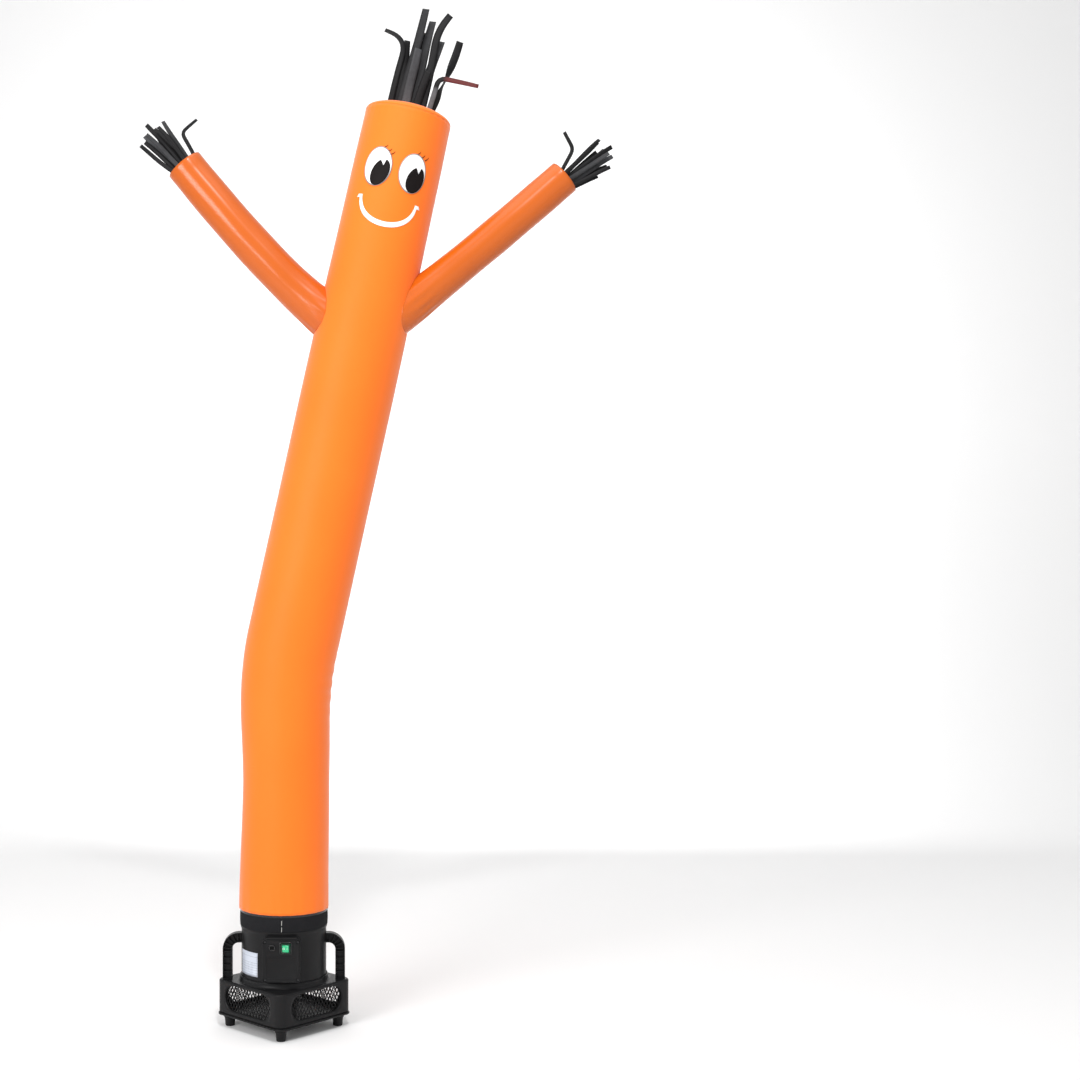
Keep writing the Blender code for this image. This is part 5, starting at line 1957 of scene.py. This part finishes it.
@dataclass(frozen=True)
class Handle:
    """Ribbed handle: an H-shaped section carried up, round a quarter turn and in to the duct."""

    finishes: Finishes
    out: float = 0.1585
    wide: float = 0.0248
    deep: float = 0.024
    top: float = 0.242
    curve: float = 0.042
    wall: float = 0.0023
    web: float = 0.003
    rib: float = 0.0017
    rib_sink: float = 0.0012
    fan: tuple[float, ...] = (4.0, 24.0, 44.0, 64.0, 84.0)
    foot: float = 0.1224
    duct: float = DUCT_RADIUS + GAP

    def path(self) -> tuple[Array, Array]:
        """Return the outer line of the left handle in XZ, and its inward normals.

        Straight up, a quarter circle, then straight to the duct.

        Returns:
            The line's points and the normals.
        """
        bend_x, bend_z = self.curve - self.out, self.top - self.curve
        up = together(-self.out, np.linspace(self.foot, bend_z, 12))
        turn = np.linspace(0.0, math.pi / 2, 22)[1:]
        normal = together(np.cos(turn), -np.sin(turn))
        bend = np.array([bend_x, bend_z]) - self.curve * normal
        across = together(np.linspace(bend_x, -self.duct, 4)[1:], self.top)
        inward = [np.tile([1.0, 0.0], (len(up), 1)), normal, np.tile([0.0, -1.0], (len(across), 1))]
        return np.vstack([up, bend, across]), np.vstack(inward)

    def section(self) -> Array:
        """Return the closed H-shaped section, with small chamfers.

        Returns:
            Inward and forward offsets.
        """
        w, d, t, m, c = self.wide, self.deep / 2, self.wall, self.web / 2, 0.0005
        quarter = [(0.0, m), (0.0, d - c), (c, d), (t - c, d), (t, d - c), (t, m + c), (t + c, m)]
        half = quarter + [(w - n, y) for n, y in quarter[::-1]]
        return np.array(half + [(n, -y) for n, y in half[::-1]])

    def build(self) -> None:
        """Build both handles, the second turned half round."""
        line, inward = self.path()
        section = self.section()
        flat = line[None, :, :] + section[:, None, :1] * inward[None, :, :]
        points = together(flat[..., 0], -section[:, None, 1], flat[..., 1])
        points[:, -1, 0] = -np.sqrt(self.duct ** 2 - points[:, -1, 1] ** 2)
        shell = Shell().grid(points[::-1], close_u=True)
        for end in (0, -1):
            middle = points[:, end].mean(axis=0)
            cap = np.stack([points[:, end], np.tile(middle, (len(section), 1))])
            shell.grid(cap if end else cap[:, ::-1], close_v=True)
        reach = (self.deep / 2 - self.rib_sink - self.web / 2) / 2
        for (x, z), (run_x, run_z) in self.ribs():
            across = np.array([-run_z, 0.0, run_x]) / math.hypot(run_x, run_z) * self.rib / 2
            for face in (-1.0, 1.0):
                middle = np.array([x, face * (self.web / 2 + reach), z])
                rib = box_grid(middle, np.array([run_x, 0.0, run_z]), across, np.array([0.0, -reach, 0.0]))
                shell.grid(rib, close_v=True)
        for side in ("left", "right"):
            dress(shell.build(f"handle_grip_{side}"), self.finishes.plastic, [f"handle_{side}"])
            shell.points = [turned(grid, math.pi) for grid in shell.points]

    def ribs(self) -> list[tuple[Array, Array]]:
        """Find the ribs: five across the post and five round the bend.

        Returns:
            Each rib's middle and half run in XZ.
        """
        half = self.wide / 2 - self.wall / 2
        found = []
        for z in np.linspace(self.foot + 0.0009, self.top - self.curve - 0.006, 5):
            found.append((np.array([-self.out + self.wide / 2, z]), np.array([half, 0.0])))
        centre = np.array([-(self.out - self.curve), self.top - self.curve])
        for turn in np.radians(self.fan):
            ray = np.array([-math.cos(turn), math.sin(turn)])
            found.append((centre + ray * (self.curve - self.wide / 2), ray * half))
        return found


@dataclass(frozen=True)
class Controls:
    """Control box with its lid, gland, switch and the blank label beside it."""

    finishes: Finishes
    front: float = 0.120
    lid: tuple[float, float] = (0.096, 0.108)
    lid_low: float = 0.142
    lid_thick: float = 0.006
    gland: tuple[float, float] = (-0.0235, 0.2305)
    switch: tuple[float, float] = (0.011, 0.2295)
    tilt: float = math.radians(10.0)
    box_half: float = 0.045
    box_z: float = 0.200
    box_back: float = 0.1060
    well: float = 0.0062
    well_floor: float = 0.0039
    rocker_half: tuple[float, float] = (0.0082, 0.0087)
    rocker_axis: float = 0.005
    mark_lift: float = 0.00012
    label_turn: tuple[float, float] = (math.radians(-72.5), math.radians(-34.5))
    label_z: tuple[float, float] = (0.147, 0.208)

    @property
    def face(self) -> float:
        """How far the lid's front face lies from the duct's axis."""
        return self.front + GAP + self.lid_thick

    def build(self, frame: dict[str, Any]) -> None:
        """Build the controls.

        Args:
            frame: The loaded frame.
        """
        self.build_box()
        self.build_lid(frame)
        self.build_lid_screws()
        self.build_gland()
        self.build_switch()
        self.build_rocker()
        self.build_label()

    def build_box(self) -> None:
        """Box behind the lid: a rounded outline carried from the duct to the lid."""
        outline = rectangle(2 * self.box_half, self.lid[1], 0.009, 8)
        edge = ((0.0, 0.0045), (0.0, 0.0022), (0.0010, 0.0006), (0.0022, 0.0))
        rings = [level(shrunk(outline, inset), self.front - deep) for deep, inset in edge]
        seat = DUCT_RADIUS + 0.0004
        back = np.sqrt(seat ** 2 - np.clip(outline[:, 0], -self.box_half, self.box_half) ** 2)
        first, last = pole(outline, 0.0, 0.0, self.front), pole(outline, 0.0, 0.0, self.box_back)
        points = to_front(np.stack([first, *rings, level(outline, back), last]), 0.0, 0.0, self.box_z)
        shaped("control_case", points, self.finishes.plastic, ["control_box"])

    def build_lid(self, frame: dict[str, Any]) -> None:
        """Lid: the solid's own shape, welded and with its edges rounded.

        Args:
            frame: The loaded frame.
        """
        source = frame["nodes"]["control_lid"]
        mesh = source.data.copy()
        mesh.transform(source.matrix_world)
        mesh.name = "lid_plate"
        Shell.weld(mesh)
        lid = placed("lid_plate", mesh)
        edge = lid.modifiers.new("edge", "BEVEL")
        edge.width = 0.0007
        edge.segments = 2
        edge.limit_method = "ANGLE"
        edge.angle_limit = math.radians(50.0)
        dress(lid, self.finishes.plastic, ["control_lid"])

    def build_lid_screws(self) -> None:
        """Lid screws: a domed head in each well."""
        profile = [(0.0, 0.0012, 0.0), (0.0025, 0.0010, 0.0006), (0.0032, 0.0, 0.0), (0.0, 0.0, 0.0)]
        head, uv = lathe(rounded_profile(profile), 24)
        shell = Shell()
        wide, high = (size / 2 - self.well for size in self.lid)
        for x in (-wide, wide):
            for z in (-high, high):
                place = to_front(head, x, self.face - self.well_floor, self.lid_low + self.lid[1] / 2 + z)
                shell.grid(place, close_v=True, uv=uv)
        dress(shell.build("lid_screws"), self.finishes.metal)

    def build_gland(self) -> None:
        """Cable gland: a round collar about a square socket, whose floor is a thin near-black slab of painted
        shade.
        """
        x, z = self.gland
        out = self.face + 0.0002
        inner, rim = 0.0058, 0.0090
        points, uv = lathe(rounded_profile([
            (inner, 0.0005, 0.0), (0.0060, 0.0032, 0.0004), (0.0078, 0.0036, 0.0010), (rim, 0.0010, 0.0010),
            (rim, 0.0, 0.0), (inner, 0.0, 0.0), (inner, 0.0005, 0.0),
        ]), 56)
        shell = Shell().grid(to_front(points, x, out, z), close_v=True, uv=uv)
        section = np.array([(0.0, 0.0), (0.0, 0.0030), (0.0014, 0.0030), (0.0014, 0.0)])
        socket = hoop(rectangle(0.0100, 0.0085, 0.0012, 4), section)
        shell.grid(to_front(socket, x, out, z), close_u=True, close_v=True)
        dress(shell.build("gland_collar"), self.finishes.smooth, ["cable_gland"])
        # painted shade: a thin near-black slab just over the lid stands for the shadow deep inside the square
        # socket
        floor = slab(rectangle(0.0098, 0.0083, 0.0012, 3), 0.0, 0.0004, 0.0001, 1)
        shaped("gland_socket_shade", to_front(floor, x, out, z), self.finishes.deep)

    def switch_frame(
        self, opening: tuple[float, float], wide: float, tall: float, rise: float, inner: float
    ) -> Array:
        """Return one of the switch's frames: a rounded section carried round a rectangle.

        Args:
            opening: Width and height of its opening.
            wide: Width of its section.
            tall: Height of its section.
            rise: Width of its sloping inner part.
            inner: How much lower its outer side is.

        Returns:
            The grid, closed both ways, in its place on the lid.
        """
        c = 0.0006
        section = np.array([
            (0.0, 0.0), (0.0, tall - c), (c, tall), (wide - rise, tall - c / 2), (wide - c, tall - inner),
            (wide, 0.0),
        ])
        x, z = self.switch
        return to_front(hoop(rectangle(*opening, 0.0016, 4), section), x, self.face + GAP, z)

    def build_switch(self) -> None:
        """Switch: bezel and dark green cover."""
        bezel = self.switch_frame((0.0270, 0.0250), 0.0035, 0.0030, 0.0012, 0.0008)
        shaped("bezel_frame", bezel, self.finishes.smooth, ["switch_bezel"], close_u=True)
        cover = self.switch_frame((0.0198, 0.0183), 0.0032, 0.0075, 0.0014, 0.0020)
        shaped("cover_frame", cover, self.finishes.cover, ["switch_cover"], close_u=True)

    def rocker_place(self, along: Array, up: Array, lift: Array) -> Array:
        """Carry points of the rocker's own frame to its rest position, turned about its axis.

        Args:
            along: Across the switch.
            up: Upward.
            lift: Outward from the axis.

        Returns:
            The points.
        """
        cos, sin = math.cos(self.tilt), math.sin(self.tilt)
        out = self.face + self.rocker_axis + along * sin + lift * cos
        return together(self.switch[0] + along * cos - lift * sin, -out, self.switch[1] + up)

    def rocker_face(self, along: Array, up: Array, lift: float = 0.0) -> Array:
        """Return points on the rocker's face: two flats that meet in a soft valley in the middle."""
        height = 0.0015 + 0.0015 * np.sqrt((along / self.rocker_half[0]) ** 2 + 0.004)
        return self.rocker_place(along, up, height + lift)

    def build_rocker(self) -> None:
        """Rocker, and a ring and a bar as its marks."""
        half_x, half_z = self.rocker_half
        outline = rectangle(2 * half_x, 2 * half_z, 0.0012, 4)
        rings = [self.rocker_face(*(0 * outline.T))]
        for shrink, drop in ((0.9, 0.0), (0.5, 0.0), (0.06, 0.0), (0.02, 0.0003), (0.0, 0.0009)):
            rings.append(self.rocker_face(*(outline * (1 - shrink)).T, -drop))
        low = np.full(len(outline), -0.003)
        rings += [self.rocker_place(*outline.T, low), self.rocker_place(*(0 * outline.T), low)]
        shaped(
            "rocker_key", np.stack(rings), self.finishes.rocker, ["switch_rocker"], body=ROCKER
        )
        angles = np.linspace(0.0, math.tau, 33)[:-1]
        shell = Shell()
        reach = np.array([0.0020, 0.0026])[:, None]
        a, b = -0.0044 + reach * np.cos(angles), reach * np.sin(angles)
        shell.grid(self.rocker_face(a, b, self.mark_lift)[::-1], close_v=True)
        a, b = np.array([[0.0041], [0.0047]]), np.linspace(-0.0023, 0.0023, 5)
        shell.grid(self.rocker_face(a, b, self.mark_lift))
        marks = shell.build("rocker_marks")
        solidify(marks, 0.0001)
        dress(marks, self.finishes.white, (), ROCKER)

    def build_label(self) -> None:
        """Label: a film that follows the duct."""
        turn = np.linspace(*self.label_turn, 25)[:, None]
        z = np.linspace(*self.label_z, 9)[None, :]
        reach = DUCT_RADIUS + 0.0009
        shaped(
            "label_film", together(reach * np.sin(turn), -reach * np.cos(turn), z), self.finishes.label,
            ["blank_label"], uv=together((turn - turn[0]) * 0.1104, z - z[0, 0]),
            close_v=False, sheet=0.0005,
        )


# ---- the studio ----


@dataclass(frozen=True)
class Room:
    """Camera, lights and a pale floor that sweeps up behind."""

    camera: tuple[float, float, float] = (0.22 + BLOWER_X, -4.2, 1.20)
    focal: float = 36 * 1615.385 / 1080
    shift: tuple[float, float] = (0.1587, 0.0217)
    sweep: float = 2.0
    wall: float = 5.5
    sky: float = 0.60

    def build(self) -> None:
        """Set up the room."""
        self.place_camera()
        self.build_floor()
        self.light("key", (-2.9, -3.6, 2.3), 2.2, 130.0)
        self.light("fill", (2.6, -4.2, 1.6), 2.6, 8.0)
        self.light("top", (0.0, -0.6, 5.0), 3.0, 40.0)
        self.light("streak", (0.2, -2.6, 4.4), 0.32, 62.0)
        self.light("backdrop", (0.6, 2.6, 2.4), 3.0, 70.0, (0.6, 5.5, 2.2))
        world = bpy.data.worlds.new("soft_light")
        bpy.context.scene.world = world
        world.use_nodes = True
        sky = world.node_tree.nodes["Background"]
        sky.inputs[0].default_value = (1.0, 1.0, 1.0, 1.0)
        sky.inputs[1].default_value = self.sky
        bpy.context.scene.view_settings.view_transform = "Standard"

    def place_camera(self) -> None:
        """Put the level camera where the photograph's was."""
        lens = bpy.data.cameras.new("camera")
        lens.sensor_width = 36.0
        lens.lens = self.focal
        lens.shift_x, lens.shift_y = self.shift
        item = placed("camera", lens)
        item.location = self.camera
        item.rotation_euler = (math.pi / 2, 0.0, 0.0)
        bpy.context.scene.camera = item

    def light(
        self,
        name: str,
        place: tuple[float, float, float],
        size: float,
        power: float,
        target: tuple[float, float, float] = (0.0, 0.0, 1.3),
    ) -> None:
        """Add a soft square light.

        Args:
            name: Its name.
            place: Where it stands.
            size: Length of its side.
            power: Its power in watts.
            target: The place that it looks at.
        """
        lamp = bpy.data.lights.new(name, "AREA")
        lamp.size = size
        lamp.energy = power
        item = placed(name, lamp)
        item.location = place
        aim = np.array(target) - np.array(place)
        flat = math.hypot(aim[0], aim[1])
        item.rotation_euler = (math.atan2(flat, -aim[2]), 0.0, math.atan2(aim[1], aim[0]) - math.pi / 2)

    def build_floor(self) -> None:
        """Floor: flat, then a quarter circle up into a wall."""
        turn = np.linspace(0.0, math.pi / 2, 25)
        y = np.concatenate([[-9.0], self.wall - self.sweep * (1 - np.sin(turn)), [self.wall]])
        z = np.concatenate([[0.0], self.sweep * (1 - np.cos(turn)), [9.0]])
        x = np.linspace(-10.0, 10.0, 3)
        points = together(x[:, None], y[None, :], z[None, :])
        floor = Shell().grid(points).build("floor", (0.0, 0.0, 0.0))
        floor.data.materials.append(Studio().make())


def main() -> None:
    """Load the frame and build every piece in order."""
    logging.basicConfig(level=logging.INFO, format="%(name)s: %(message)s", stream=sys.stdout)
    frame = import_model()
    Room().build()
    finishes = Finishes.make()
    Cloth(Figure(), finishes).build()
    Base(finishes).build()
    Duct(finishes).build()
    Handle(finishes).build()
    Controls(finishes).build(frame)
    for node in ("outlet_guard", "motor_bracket"):
        repaint(frame, node, finishes.plastic)


if __name__ == "__main__":
    main()
